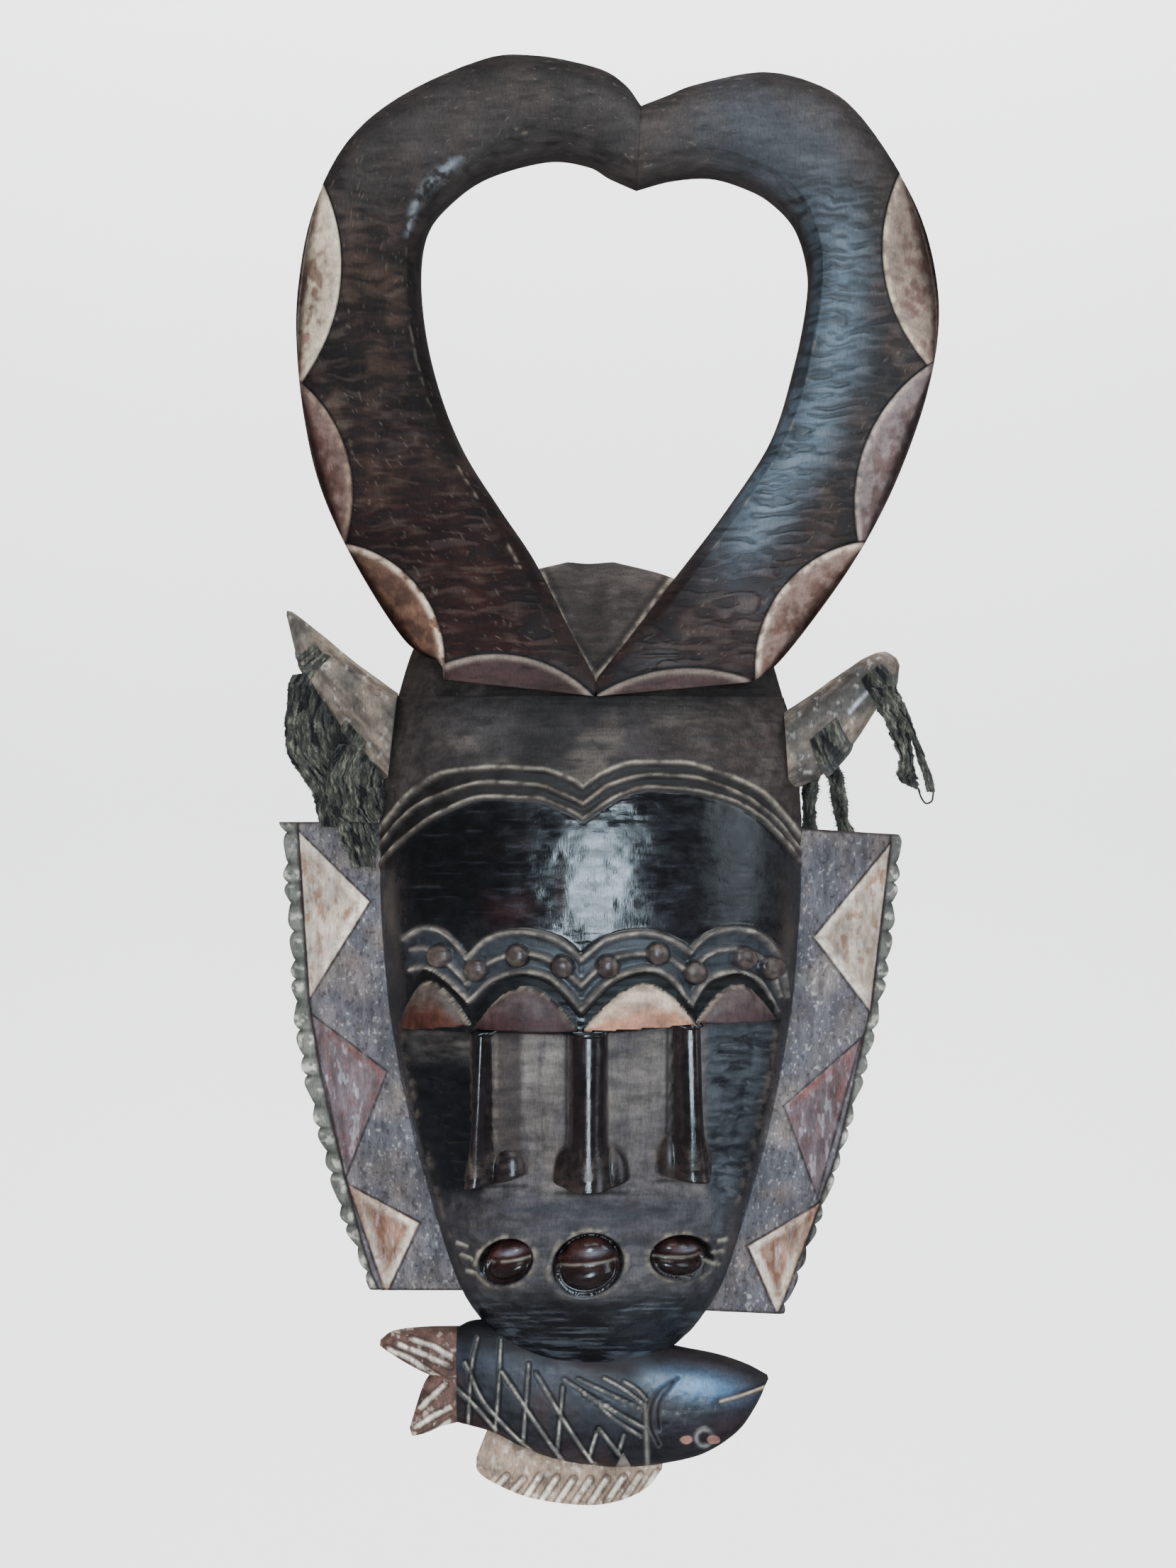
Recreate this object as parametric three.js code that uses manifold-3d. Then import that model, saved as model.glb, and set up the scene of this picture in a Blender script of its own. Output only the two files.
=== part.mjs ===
// A carved wooden mask: three conjoined faces under a heart of two meeting horns, with a wing
// on each side, an ear horn on each side that strips of cloth are tied to, and a fish below the chin.
// Millimetres, +Z up, +X to the viewer's right. The front faces -Y and the flat back lies on y = 0.
// The origin is on the solid back of the forehead, level with the dip in the hairline.
import * as THREE from "three";
import { mergeVertices } from "three/addons/utils/BufferGeometryUtils.js";
import Module from "manifold-3d";

const wasm = await Module();
wasm.setup();

// ---------------------------------------------------------------- driving dimensions
const GAP = 0.4; // between members that touch
const SEAT = 1; // how much larger than the head the seats are that fit round it

const HEAD = {
  chin: -244, // lowest point
  split: 36, // where the crown sits on the face
  crown: 93, // highest point
  edge: 20, // height of the side wall above the back
  wall: 14, // thickness round the hollow
  hollowTop: -14,
  hollowBottom: -229,
};
// Half width of the head at each height, and how far its middle stands in front of the back.
const HALF_WIDTH = [
  [-244, 10], [-240, 24], [-232, 37], [-220, 48], [-208, 55], [-188, 62], [-168, 68],
  [-144, 74.5], [-118, 80], [-80, 85.5], [-35, 88], [5, 86.5], [23, 84], [38, 80],
  [59, 73], [70, 64], [80, 49], [88, 30], [93, 10],
];
const MIDDLE_DEPTH = [
  [-244, 24], [-238, 38], [-225, 52], [-210, 60], [-190, 64], [-150, 68], [-103, 72],
  [-60, 75], [-30, 73], [0, 67], [20, 62], [40, 55], [60, 46], [78, 36], [93, 24],
];
const SECTION_POWER = 2.3; // roundness of the head's cross-section

const HORN = { front: 64, thickness: 34, lean: 2.6, bevel: 3 }; // lean in degrees, backwards
const WING = { front: 24, back: 11, recess: 3 };
const FISH = { front: 38, back: 10 };
const EAR_DEPTH = 28; // where the ear horns' axes lie
const EAR_FLATNESS = 0.8; // depth of their section against its height

// ---------------------------------------------------------------- outlines, [x, z]
const HORN_LEFT_OUTER = [
  [-60, 50], [-76, 59], [-96, 90], [-110, 120], [-117, 148], [-120.5, 178], [-120, 205],
  [-114, 236], [-100, 264], [-78, 283], [-45, 298], [-24, 300], [2, 295], [14, 288], [20.5, 279],
];
const HORN_LEFT_INNER = [
  [18.8, 248], [8, 253], [-1, 258], [-18, 260], [-43, 253], [-59, 241.5], [-68, 229], [-70.5, 210],
  [-68, 185], [-61.5, 160], [-51.5, 136], [-37, 113], [-23, 92],
];
const HORN_LEFT_BASE = [[1.8, 42], [1.8, 36], [-25, 37], [-50, 40], [-59, 44]];
const HORN_RIGHT_OUTER = [
  [68, 43], [80, 53], [90, 66], [107, 90], [120, 113], [130, 136], [138, 160], [142.5, 183],
  [142.5, 205], [137, 230], [126, 253], [109, 277], [93, 288], [71, 293], [44, 288], [21.2, 279],
];
const HORN_RIGHT_INNER = [
  [19.4, 248], [34, 252], [50, 253], [64, 249], [75, 243], [85, 232], [90, 216], [90, 201],
  [85, 175], [75, 143], [56, 113], [34, 84],
];
const HORN_RIGHT_BASE = [[2.6, 42], [2.6, 36], [28, 35], [52, 37], [64, 40]];
// Leaf-shaped scoops along the horns: the middle of each, its direction in degrees and its length.
const LEAVES_LEFT = [
  { at: [-119, 206], turn: 92, length: 76 },
  { at: [-116, 137], turn: 107, length: 66 },
  { at: [-84, 77], turn: 127, length: 66 },
];
const LEAVES_RIGHT = [
  { at: [142, 208], turn: 90, length: 76 },
  { at: [135, 142], turn: 69, length: 66 },
  { at: [96, 79], turn: 55, length: 66 },
];
const LEAF = { inward: 14, deep: 11 };

const WING_LEFT_EDGE = [
  [-128, -15.5], [-124, -45], [-121.5, -75], [-120, -105], [-113, -140], [-105, -175], [-91, -211.5],
];
const WING_RIGHT_EDGE = [
  [127, -19], [126, -45], [122.5, -76], [116.5, -105], [108.5, -138], [98, -173], [82.5, -219],
];
const WING_INNER_X = 44; // inside the head, where the seat is cut away
const SCALLOP = { count: 14, height: 1.8 };
const LEFT_TRIANGLES = [
  [[-119, -19], [-91, -49], [-115, -91]],
  [[-114, -98], [-84, -119], [-101, -163]],
  [[-99, -166], [-71, -181], [-85, -209]],
];
const RIGHT_TRIANGLES = [
  [[124, -25], [92, -63], [114, -94]],
  [[111, -106], [80, -134], [94, -169]],
  [[93, -173], [65, -191], [77, -217]],
];

const FISH_BODY = [
  [-55.2, -226], [-40, -222], [0, -226], [36, -234], [62, -240], [74, -246.5], [69, -258],
  [62, -267], [50, -277], [31, -282], [2, -284.5], [-16, -283], [-41, -271], [-55.2, -266],
];
const FISH_TAIL = [
  [-55.6, -226], [-71, -226.5], [-85, -228.5], [-88, -233], [-81, -240], [-69, -248.5],
  [-72, -260], [-75, -270], [-65, -269.5], [-55.6, -266],
];
const FISH_FIN = [
  [-41, -273.5], [-28, -281], [-16, -285], [2, -286.5], [31, -284], [30, -287], [25, -292], [13, -298.5],
  [-3, -300.5], [-24, -297], [-40, -291], [-48, -284], [-47, -280],
];

// Ear horns: root and tip of each axis, and the radius at steps along it.
const EAR_LEFT = {
  root: [-82, 18.2],
  tip: [-125.8, 71],
  radii: [[0, 13], [0.25, 12.3], [0.45, 11], [0.65, 8.8], [0.85, 4.8], [0.97, 1.6]],
};
const EAR_RIGHT = {
  root: [84, 12],
  tip: [128, 48],
  radii: [[0, 13], [0.25, 12.6], [0.5, 11.8], [0.75, 10], [0.9, 7.4], [0.98, 3.6]],
};
const WRAP = { thickness: 2.6 };
const TIE = { wide: 5.2, narrow: 4.2, strand: 2.4, knot: 7 }; // radii of the strips and the knot

// ---------------------------------------------------------------- helpers
// A smooth function through the pairs, which never swings past them (monotone cubic).
function curveThrough(pairs) {
  const n = pairs.length;
  const slope = pairs.slice(1).map((p, i) => (p[1] - pairs[i][1]) / (p[0] - pairs[i][0]));
  const tangent = pairs.map((_, i) => {
    if (i === 0) return slope[0];
    if (i === n - 1) return slope[n - 2];
    if (slope[i - 1] * slope[i] <= 0) return 0;
    return (2 * slope[i - 1] * slope[i]) / (slope[i - 1] + slope[i]);
  });
  return (x) => {
    const clamped = Math.min(Math.max(x, pairs[0][0]), pairs[n - 1][0]);
    let i = pairs.findIndex((p) => clamped <= p[0]) - 1;
    if (i < 0) i = 0;
    const step = pairs[i + 1][0] - pairs[i][0];
    const t = (clamped - pairs[i][0]) / step;
    const rise = 3 * t * t - 2 * t * t * t;
    const bend = t * (1 - t);
    return (
      pairs[i][1] * (1 - rise) +
      pairs[i + 1][1] * rise +
      step * bend * ((1 - t) * tangent[i] - t * tangent[i + 1])
    );
  };
}

const halfWidth = curveThrough(HALF_WIDTH);
const middleDepth = curveThrough(MIDDLE_DEPTH);

// How far the head's surface stands in front of the back.
function headDepth(x, z) {
  const side = Math.min(Math.abs(x) / halfWidth(z), 1);
  return HEAD.edge + (middleDepth(z) - HEAD.edge) * Math.sqrt(1 - side ** SECTION_POWER);
}

function solidOf(geometry) {
  const bare = new THREE.BufferGeometry();
  bare.setAttribute("position", geometry.getAttribute("position"));
  if (geometry.index) bare.setIndex(geometry.index);
  const merged = mergeVertices(bare, 1e-4);
  const mesh = new wasm.Mesh({
    numProp: 3,
    vertProperties: new Float32Array(merged.attributes.position.array),
    triVerts: new Uint32Array(merged.index.array),
  });
  return new wasm.Manifold(mesh);
}

function geometryOf(solid) {
  const mesh = solid.getMesh();
  const geometry = new THREE.BufferGeometry();
  const flat = new Float32Array(mesh.numVert * 3);
  for (let i = 0; i < mesh.numVert; i++) {
    flat.set(mesh.vertProperties.subarray(i * mesh.numProp, i * mesh.numProp + 3), i * 3);
  }
  geometry.setAttribute("position", new THREE.BufferAttribute(flat, 3));
  geometry.setIndex(new THREE.BufferAttribute(new Uint32Array(mesh.triVerts), 1));
  const flatShaded = geometry.toNonIndexed();
  flatShaded.computeVertexNormals();
  return flatShaded;
}

// A solid with a flat back at y = back and a front surface at y = -depth(x, z), between two
// heights and out to width(z) on both sides. Columns crowd towards the steep sides.
function relief({ width, depth, low, high, back, columns, rows }) {
  const points = [];
  for (let r = 0; r <= rows; r++) {
    const z = low + (high - low) * (0.5 - 0.5 * Math.cos((Math.PI * r) / rows));
    for (let c = 0; c <= columns; c++) {
      const x = width(z) * Math.sin((Math.PI / 2) * ((2 * c) / columns - 1));
      points.push([x, -depth(x, z), z]);
    }
  }
  const at = (r, c) => r * (columns + 1) + c;
  const faces = [];
  for (let r = 0; r < rows; r++) {
    for (let c = 0; c < columns; c++) {
      faces.push([at(r, c), at(r, c + 1), at(r + 1, c + 1)]);
      faces.push([at(r, c), at(r + 1, c + 1), at(r + 1, c)]);
    }
  }
  const rim = [];
  for (let c = 0; c < columns; c++) rim.push(at(0, c));
  for (let r = 0; r < rows; r++) rim.push(at(r, columns));
  for (let c = columns; c > 0; c--) rim.push(at(rows, c));
  for (let r = rows; r > 0; r--) rim.push(at(r, 0));
  const first = points.length;
  rim.forEach((i) => points.push([points[i][0], back, points[i][2]]));
  rim.forEach((i, k) => {
    const next = (k + 1) % rim.length;
    faces.push([i, first + next, rim[next]]);
    faces.push([i, first + k, first + next]);
  });
  const loop = rim.map((i) => new THREE.Vector2(points[i][0], points[i][2]));
  THREE.ShapeUtils.triangulateShape(loop, []).forEach(([a, b, c]) => {
    faces.push([first + c, first + b, first + a]);
  });
  const geometry = new THREE.BufferGeometry();
  geometry.setAttribute("position", new THREE.Float32BufferAttribute(points.flat(), 3));
  geometry.setIndex(faces.flat());
  return geometry;
}

// The whole head as one lump, grown by a little where a neighbour's seat is cut with it.
function headLump(low, high, grow, columns, rows) {
  return solidOf(
    relief({
      width: (z) => halfWidth(z) + grow,
      depth: (x, z) => {
        const inside = x * (halfWidth(z) / (halfWidth(z) + grow));
        return headDepth(inside, z) + grow;
      },
      low: low - grow,
      high: high + grow,
      back: grow,
      columns,
      rows,
    }),
  );
}

// A plate in the XZ plane from y = -back to y = -front, from an outline of [x, z] points.
function plate(outline, front, back, bevel = 0) {
  const shape = new THREE.Shape(outline.map(([x, z]) => new THREE.Vector2(x, z)));
  const geometry = new THREE.ExtrudeGeometry(shape, {
    depth: front - back - 2 * bevel,
    bevelEnabled: bevel > 0,
    bevelThickness: bevel,
    bevelSize: bevel,
    bevelOffset: -bevel,
    bevelSegments: 2,
  });
  geometry.rotateX(Math.PI / 2);
  geometry.translate(0, -back - bevel, 0);
  return geometry;
}

function smooth(points, count) {
  const spline = new THREE.SplineCurve(points.map(([x, z]) => new THREE.Vector2(x, z)));
  return spline.getPoints(count).map((p) => [p.x, p.y]);
}

// An ellipsoid with half sizes [x, y, z], turned about Y by the angle in degrees.
function ellipsoid([x, y, z], half, turn = 0, segments = 12) {
  const geometry = new THREE.SphereGeometry(1, segments, Math.round(segments / 2));
  geometry.scale(...half);
  geometry.rotateY((-turn * Math.PI) / 180);
  geometry.translate(x, y, z);
  return solidOf(geometry);
}

// A round bar of one radius through the points [x, y, z].
function bar(points, radius, steps, sides) {
  const curve = new THREE.CatmullRomCurve3(points.map((p) => new THREE.Vector3(...p)));
  const section = new THREE.Shape();
  for (let i = 0; i < sides; i++) {
    const angle = (2 * Math.PI * i) / sides;
    const place = [radius * Math.cos(angle), radius * Math.sin(angle)];
    if (i === 0) section.moveTo(...place);
    else section.lineTo(...place);
  }
  section.closePath();
  return new THREE.ExtrudeGeometry(section, { steps, extrudePath: curve, bevelEnabled: false });
}

// ---------------------------------------------------------------- face
// Three noses and three mouths, turned outwards with the surface; four eyelids and brow arches.
const NOSES = [
  { x: -42, turn: -32 },
  { x: 1, turn: 0 },
  { x: 43, turn: 32 },
];
const NOSE = { top: -104, bottom: -166, half: 6.5, rise: 11, wings: 12 };
const MOUTHS = [
  { x: -35, z: -197, half: 12, turn: -26 },
  { x: -1, z: -198.5, half: 15, turn: 0 },
  { x: 37, z: -195.5, half: 12.5, turn: 26 },
];
const EYELIDS = [
  { from: -77, to: -50 },
  { from: -48, to: -5 },
  { from: -3, to: 43 },
  { from: 44, to: 76 },
];
const EYELID = { bottom: -101, top: -83, rise: 3 };
const BROW_RISE = [6, 22]; // the two lines of the brow band, above the eyelids' tops
const HAIRLINE = [
  [[-85, -18], [-70, -3], [-52, 5], [-30, 7], [-14, 4], [-3, -1]],
  [[-3, -1], [10, 5], [28, 9], [47, 7], [66, -2], [84, -17]],
];
const HAIRLINE_DROP = [0, 6, 12]; // three lines, each below the last

function nose({ x, turn }) {
  const outline = [
    [-NOSE.half, 0], [-NOSE.half * 0.45, NOSE.rise], [NOSE.half * 0.45, NOSE.rise], [NOSE.half, 0],
    [NOSE.half, -NOSE.rise], [-NOSE.half, -NOSE.rise],
  ];
  const shape = new THREE.Shape(outline.map(([a, b]) => new THREE.Vector2(a, b)));
  const ridge = new THREE.ExtrudeGeometry(shape, {
    depth: NOSE.top - NOSE.bottom,
    bevelEnabled: false,
  });
  ridge.rotateX(Math.PI);
  ridge.rotateZ((turn * Math.PI) / 180);
  ridge.translate(x, -headDepth(x, NOSE.top) + 6, NOSE.top);
  let solid = solidOf(ridge);
  for (const side of [-1, 1]) {
    const angle = (turn * Math.PI) / 180;
    const reach = side * 7;
    solid = solid.add(
      ellipsoid(
        [x + reach * Math.cos(angle), -headDepth(x, NOSE.bottom) + 3 + reach * Math.sin(angle), NOSE.bottom + 9],
        [5.5, 7, 9],
      ),
    );
  }
  return solid;
}

// A line raised on the head along [x, z] points.
function raisedLine(points, radius, steps) {
  const along = smooth(points, 12).map(([x, z]) => [x, -headDepth(x, z), z]);
  return solidOf(bar(along, radius, steps, 4));
}

function eyelid({ from, to }) {
  const middle = (from + to) / 2;
  const half = (to - from) / 2;
  const rise = EYELID.top - EYELID.bottom;
  const outline = [[-half, 0]];
  for (let i = 1; i < 9; i++) {
    const angle = Math.PI * (1 - i / 9);
    outline.push([half * Math.cos(angle), rise * Math.sin(angle)]);
  }
  outline.push([half, 0]);
  const slope = (headDepth(middle + 1, EYELID.bottom) - headDepth(middle - 1, EYELID.bottom)) / 2;
  const geometry = plate(outline, EYELID.rise, -9);
  geometry.rotateZ(-Math.atan(slope));
  geometry.translate(middle, -headDepth(middle, EYELID.bottom), EYELID.bottom);
  return solidOf(geometry);
}

function browArch({ from, to }, lift) {
  const middle = (from + to) / 2;
  const half = (to - from) / 2 + lift * 0.28;
  const points = [];
  for (let i = 0; i <= 8; i++) {
    const angle = Math.PI * (0.92 - (0.84 * i) / 8);
    const x = middle + half * Math.cos(angle);
    points.push([Math.max(-84, Math.min(84, x)), EYELID.bottom + lift + (20 * Math.sin(angle) - 2)]);
  }
  return raisedLine(points, 2, 7);
}

function faceShell() {
  let solid = headLump(HEAD.chin, HEAD.split, 0, 18, 24);
  const hollow = relief({
    width: (z) => Math.max(halfWidth(z) - HEAD.wall, 4),
    depth: (x, z) => {
      const side = Math.min(Math.abs(x) / Math.max(halfWidth(z) - HEAD.wall, 4), 1);
      const ends = Math.min((z - HEAD.hollowBottom) / 30, (HEAD.hollowTop - z) / 30, 1);
      const round = Math.sqrt(Math.max(1 - (1 - ends) ** 2, 0));
      return (middleDepth(z) - HEAD.wall) * round * Math.sqrt(1 - side ** SECTION_POWER) * 0.97;
    },
    low: HEAD.hollowBottom,
    high: HEAD.hollowTop,
    back: 5,
    columns: 14,
    rows: 16,
  });
  EYELIDS.forEach((lid) => {
    solid = solid.add(eyelid(lid));
    BROW_RISE.forEach((lift) => (solid = solid.add(browArch(lid, lift))));
  });
  NOSES.forEach((n) => (solid = solid.add(nose(n))));
  HAIRLINE.forEach((line) => {
    HAIRLINE_DROP.forEach((drop) => {
      const lowered = line.map(([x, z]) => [x, z - drop]);
      solid = solid.add(raisedLine(lowered, 1.6, 8));
    });
  });
  MOUTHS.forEach(({ x, z, half, turn }) => {
    const surface = -headDepth(x, z);
    solid = solid.subtract(ellipsoid([x, surface, z], [half, 8, 11.5]));
    const inward = surface + 3.5;
    const lean = Math.sin((turn * Math.PI) / 180) * 2;
    for (const side of [-1, 1]) {
      solid = solid.add(ellipsoid([x + lean, inward, z + side * 3.6], [half - 2, 5, 3.6], 0, 10));
    }
  });
  return solid.subtract(solidOf(hollow));
}

// ---------------------------------------------------------------- horns
function horn(outer, inner, base, leaves, seat) {
  const outline = [...smooth(outer, 34), ...smooth(inner, 26), ...base];
  const geometry = plate(outline, HORN.front, HORN.front - HORN.thickness, HORN.bevel);
  const foot = HEAD.split;
  geometry.translate(0, HORN.front, -foot);
  geometry.rotateX((-HORN.lean * Math.PI) / 180);
  geometry.translate(0, -HORN.front, foot);
  let solid = solidOf(geometry).subtract(seat);
  leaves.forEach(({ at: [x, z], turn, length }) => {
    const front = -HORN.front + (z - foot) * Math.tan((HORN.lean * Math.PI) / 180);
    solid = solid.subtract(ellipsoid([x, front, z], [length / 2, LEAF.deep, LEAF.inward], turn, 14));
  });
  return solid;
}

// ---------------------------------------------------------------- wings
function wing(edge, innerX, triangles, seat) {
  const curve = new THREE.SplineCurve(edge.map(([x, z]) => new THREE.Vector2(x, z)));
  const side = Math.sign(innerX);
  const steps = SCALLOP.count * 4;
  const outer = curve.getSpacedPoints(steps).map((p, i) => {
    const wave = SCALLOP.height * Math.abs(Math.sin((Math.PI * i * SCALLOP.count) / steps));
    return [p.x - side * (SCALLOP.height - wave), p.y];
  });
  const top = outer[0][1];
  const bottom = outer[outer.length - 1][1];
  const outline = [...outer, [innerX, bottom], [innerX, top]];
  let solid = solidOf(plate(outline, WING.front, WING.back)).subtract(seat);
  triangles.forEach((corners) => {
    solid = solid.subtract(solidOf(plate(corners, WING.front + 5, WING.front - WING.recess)));
  });
  return solid;
}

// ---------------------------------------------------------------- ear horns and their wraps
// A round spike along the ear's axis, its radius grown by a little for the wraps' seats.
function earSpike({ root, tip, radii }, grow, from = 0, to = 1) {
  const length = Math.hypot(tip[0] - root[0], tip[1] - root[1]);
  const radiusAt = curveThrough([...radii, [1, 0.01]]);
  const stations = 9;
  const profile = [new THREE.Vector2(0, from * length)];
  for (let i = 0; i <= stations; i++) {
    const t = from + ((to - from) * i) / stations;
    profile.push(new THREE.Vector2(radiusAt(t) + grow, t * length));
  }
  profile.push(new THREE.Vector2(0, to * length));
  const geometry = new THREE.LatheGeometry(profile, 16);
  geometry.scale(1, 1, EAR_FLATNESS);
  const angle = Math.atan2(tip[0] - root[0], tip[1] - root[1]);
  geometry.rotateX(Math.PI / 2);
  geometry.rotateY(angle);
  geometry.translate(root[0], -EAR_DEPTH, root[1]);
  return solidOf(geometry);
}

function wrap(ear, from, to, seat) {
  const ring = earSpike(ear, WRAP.thickness + GAP, from, to);
  return ring.subtract(earSpike(ear, GAP)).subtract(seat);
}

// ---------------------------------------------------------------- assembly
const COLOURS = {
  head: { color: 0x2b211d, roughness: 0.35, metalness: 0 },
  horn: { color: 0x33291f, roughness: 0.5, metalness: 0 },
  wing: { color: 0x6a5b57, roughness: 0.75, metalness: 0 },
  ear: { color: 0x5b4d43, roughness: 0.7, metalness: 0 },
  fish: { color: 0x2a2430, roughness: 0.35, metalness: 0 },
  fin: { color: 0x8b7566, roughness: 0.75, metalness: 0 },
  tie: { color: 0x34352d, roughness: 0.95, metalness: 0 },
};

const mask = new THREE.Group();

function addPart(name, colours, shape) {
  const geometry = shape.isBufferGeometry ? shape : geometryOf(shape);
  const mesh = new THREE.Mesh(geometry, new THREE.MeshStandardMaterial(colours));
  mesh.name = name;
  mask.add(mesh);
}

const wholeHead = headLump(HEAD.chin, HEAD.crown, SEAT, 22, 40);

addPart("face_shell", COLOURS.head, faceShell());
addPart("crown", COLOURS.head, headLump(HEAD.split + GAP, HEAD.crown, 0, 22, 12));
addPart("horn_left", COLOURS.horn,
  horn(HORN_LEFT_OUTER, HORN_LEFT_INNER, HORN_LEFT_BASE, LEAVES_LEFT, wholeHead));
addPart("horn_right", COLOURS.horn,
  horn(HORN_RIGHT_OUTER, HORN_RIGHT_INNER, HORN_RIGHT_BASE, LEAVES_RIGHT, wholeHead));
addPart("wing_left", COLOURS.wing, wing(WING_LEFT_EDGE, -WING_INNER_X, LEFT_TRIANGLES, wholeHead));
addPart("wing_right", COLOURS.wing, wing(WING_RIGHT_EDGE, WING_INNER_X, RIGHT_TRIANGLES, wholeHead));
addPart("ear_left", COLOURS.ear, earSpike(EAR_LEFT, 0).subtract(wholeHead));
addPart("ear_right", COLOURS.ear, earSpike(EAR_RIGHT, 0).subtract(wholeHead));

addPart("fish_body", COLOURS.fish,
  solidOf(plate(smooth(FISH_BODY, 40), FISH.front, FISH.back, 4)).subtract(wholeHead));
addPart("fish_tail", COLOURS.fin, plate(FISH_TAIL, FISH.front - 6, FISH.back + 3, 2));
addPart("fish_fin", COLOURS.fin, plate(FISH_FIN, FISH.front - 8, FISH.back + 4, 0));

// Cloth strips: a wrap near each tip and root, the slack of the left one, and the loose ends.
addPart("tie_left_tip_wrap", COLOURS.tie, wrap(EAR_LEFT, 0.68, 0.77, wholeHead));
addPart("tie_left_root_wrap", COLOURS.tie, wrap(EAR_LEFT, 0.14, 0.27, wholeHead));
addPart("tie_right_tip_wrap", COLOURS.tie, wrap(EAR_RIGHT, 0.68, 0.84, wholeHead));
addPart("tie_right_root_wrap", COLOURS.tie, wrap(EAR_RIGHT, 0.16, 0.32, wholeHead));
addPart("tie_left_knot", COLOURS.tie,
  ellipsoid([-99.5, -36, 1], [TIE.knot, TIE.narrow, TIE.knot + 2]));
addPart("tie_left_strip", COLOURS.tie,
  bar([[-122, -36, 41], [-122, -37, 27], [-119, -38, 11], [-112, -38, -3]], TIE.wide, 6, 8));
addPart("tie_left_tail", COLOURS.tie,
  bar([[-98, -35, -9.5], [-96, -34, -18], [-94.5, -33, -26], [-94, -32, -34]], TIE.narrow, 4, 8));
addPart("tie_right_tip_tail", COLOURS.tie,
  bar([[122.5, -42.5, 31], [126, -41, 20], [131, -36, 8], [139, -32, -7]], TIE.narrow, 6, 8));
addPart("tie_right_root_tail_inner", COLOURS.tie,
  bar([[93, -12, 8], [92, -8.5, -4], [92, -6.5, -15], [92.5, -6.5, -24]], TIE.strand, 5, 8));
addPart("tie_right_root_tail_outer", COLOURS.tie,
  bar([[101, -12, 7], [104, -8.5, -4], [106, -6.5, -15], [109, -6.5, -24]], TIE.strand, 5, 8));

export default mask;
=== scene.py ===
"""The looks of a carved wooden mask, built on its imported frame.

Three conjoined faces under a heart of two meeting horns, with a scalloped wing on each side, an ear
horn on each side that frayed strips are tied to, and a fish below the chin.

Lengths in this script are millimetres in the frame's axes (+Z up, the front faces -Y) and become
metres when a mesh is made. The carving is worked out as heights over smooth base surfaces. Places on
it are given as they appear on the plane y = -40, seen from the camera: on_plane() turns a point of a
surface into such a place.
"""

import math

import bpy
import numpy as np
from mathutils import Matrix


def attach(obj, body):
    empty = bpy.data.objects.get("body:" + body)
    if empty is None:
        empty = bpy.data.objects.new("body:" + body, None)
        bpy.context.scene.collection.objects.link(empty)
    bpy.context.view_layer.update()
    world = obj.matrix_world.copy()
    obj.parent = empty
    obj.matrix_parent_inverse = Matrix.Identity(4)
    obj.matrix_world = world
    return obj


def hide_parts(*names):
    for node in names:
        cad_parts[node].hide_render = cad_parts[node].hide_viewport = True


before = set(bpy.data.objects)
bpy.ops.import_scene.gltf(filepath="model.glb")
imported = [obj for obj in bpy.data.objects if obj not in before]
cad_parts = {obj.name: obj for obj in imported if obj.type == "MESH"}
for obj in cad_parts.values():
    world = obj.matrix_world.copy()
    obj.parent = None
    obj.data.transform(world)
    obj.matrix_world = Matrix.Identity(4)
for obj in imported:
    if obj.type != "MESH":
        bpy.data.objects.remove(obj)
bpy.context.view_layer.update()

MM = 0.001
PLANE_Y = -40.0  # where the view's scale is true
EYE_DISTANCE = 1500.0  # from the eye to that plane
VIEW_HEIGHT = 646.8  # how much the view takes in there
EYE_X, EYE_Z = -1.0, 0.3


# ------------------------------------------------------------------ camera, floor and light
def make_camera():
    data = bpy.data.cameras.new("camera")
    data.sensor_fit = "VERTICAL"
    data.sensor_height = 24.0
    data.lens = data.sensor_height * EYE_DISTANCE / VIEW_HEIGHT
    camera = bpy.data.objects.new("camera", data)
    camera.location = (EYE_X * MM, (PLANE_Y - EYE_DISTANCE) * MM, EYE_Z * MM)
    camera.rotation_euler = (math.radians(90), 0, 0)
    bpy.context.scene.collection.objects.link(camera)
    bpy.context.scene.camera = camera


def flat_material(name, colour, roughness):
    material = bpy.data.materials.new(name)
    material.use_nodes = True
    shader = material.node_tree.nodes["Principled BSDF"]
    shader.inputs["Base Color"].default_value = (*colour, 1)
    shader.inputs["Roughness"].default_value = roughness
    return material


def make_stage():
    """A pale floor below the mask that curves up into a pale wall well behind it."""
    depth, height, radius, half = 2.2, 3.4, 0.6, 4.0
    floor_z = -0.62
    profile = [(-3.0, floor_z), (depth - radius, floor_z)]
    for i in range(1, 13):
        angle = math.pi / 2 * i / 12
        profile.append(
            (depth - radius + radius * math.sin(angle), floor_z + radius * (1 - math.cos(angle)))
        )
    profile.append((depth, floor_z + height))
    verts = [(x, y, z) for y, z in profile for x in (-half, half)]
    faces = [(2 * i, 2 * i + 1, 2 * i + 3, 2 * i + 2) for i in range(len(profile) - 1)]
    mesh = bpy.data.meshes.new("stage")
    mesh.from_pydata(verts, [], faces)
    mesh.shade_smooth()
    stage = bpy.data.objects.new("stage", mesh)
    stage.data.materials.append(flat_material("stage", (0.86, 0.86, 0.86), 0.9))
    bpy.context.scene.collection.objects.link(stage)
    stage.visible_glossy = False


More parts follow.
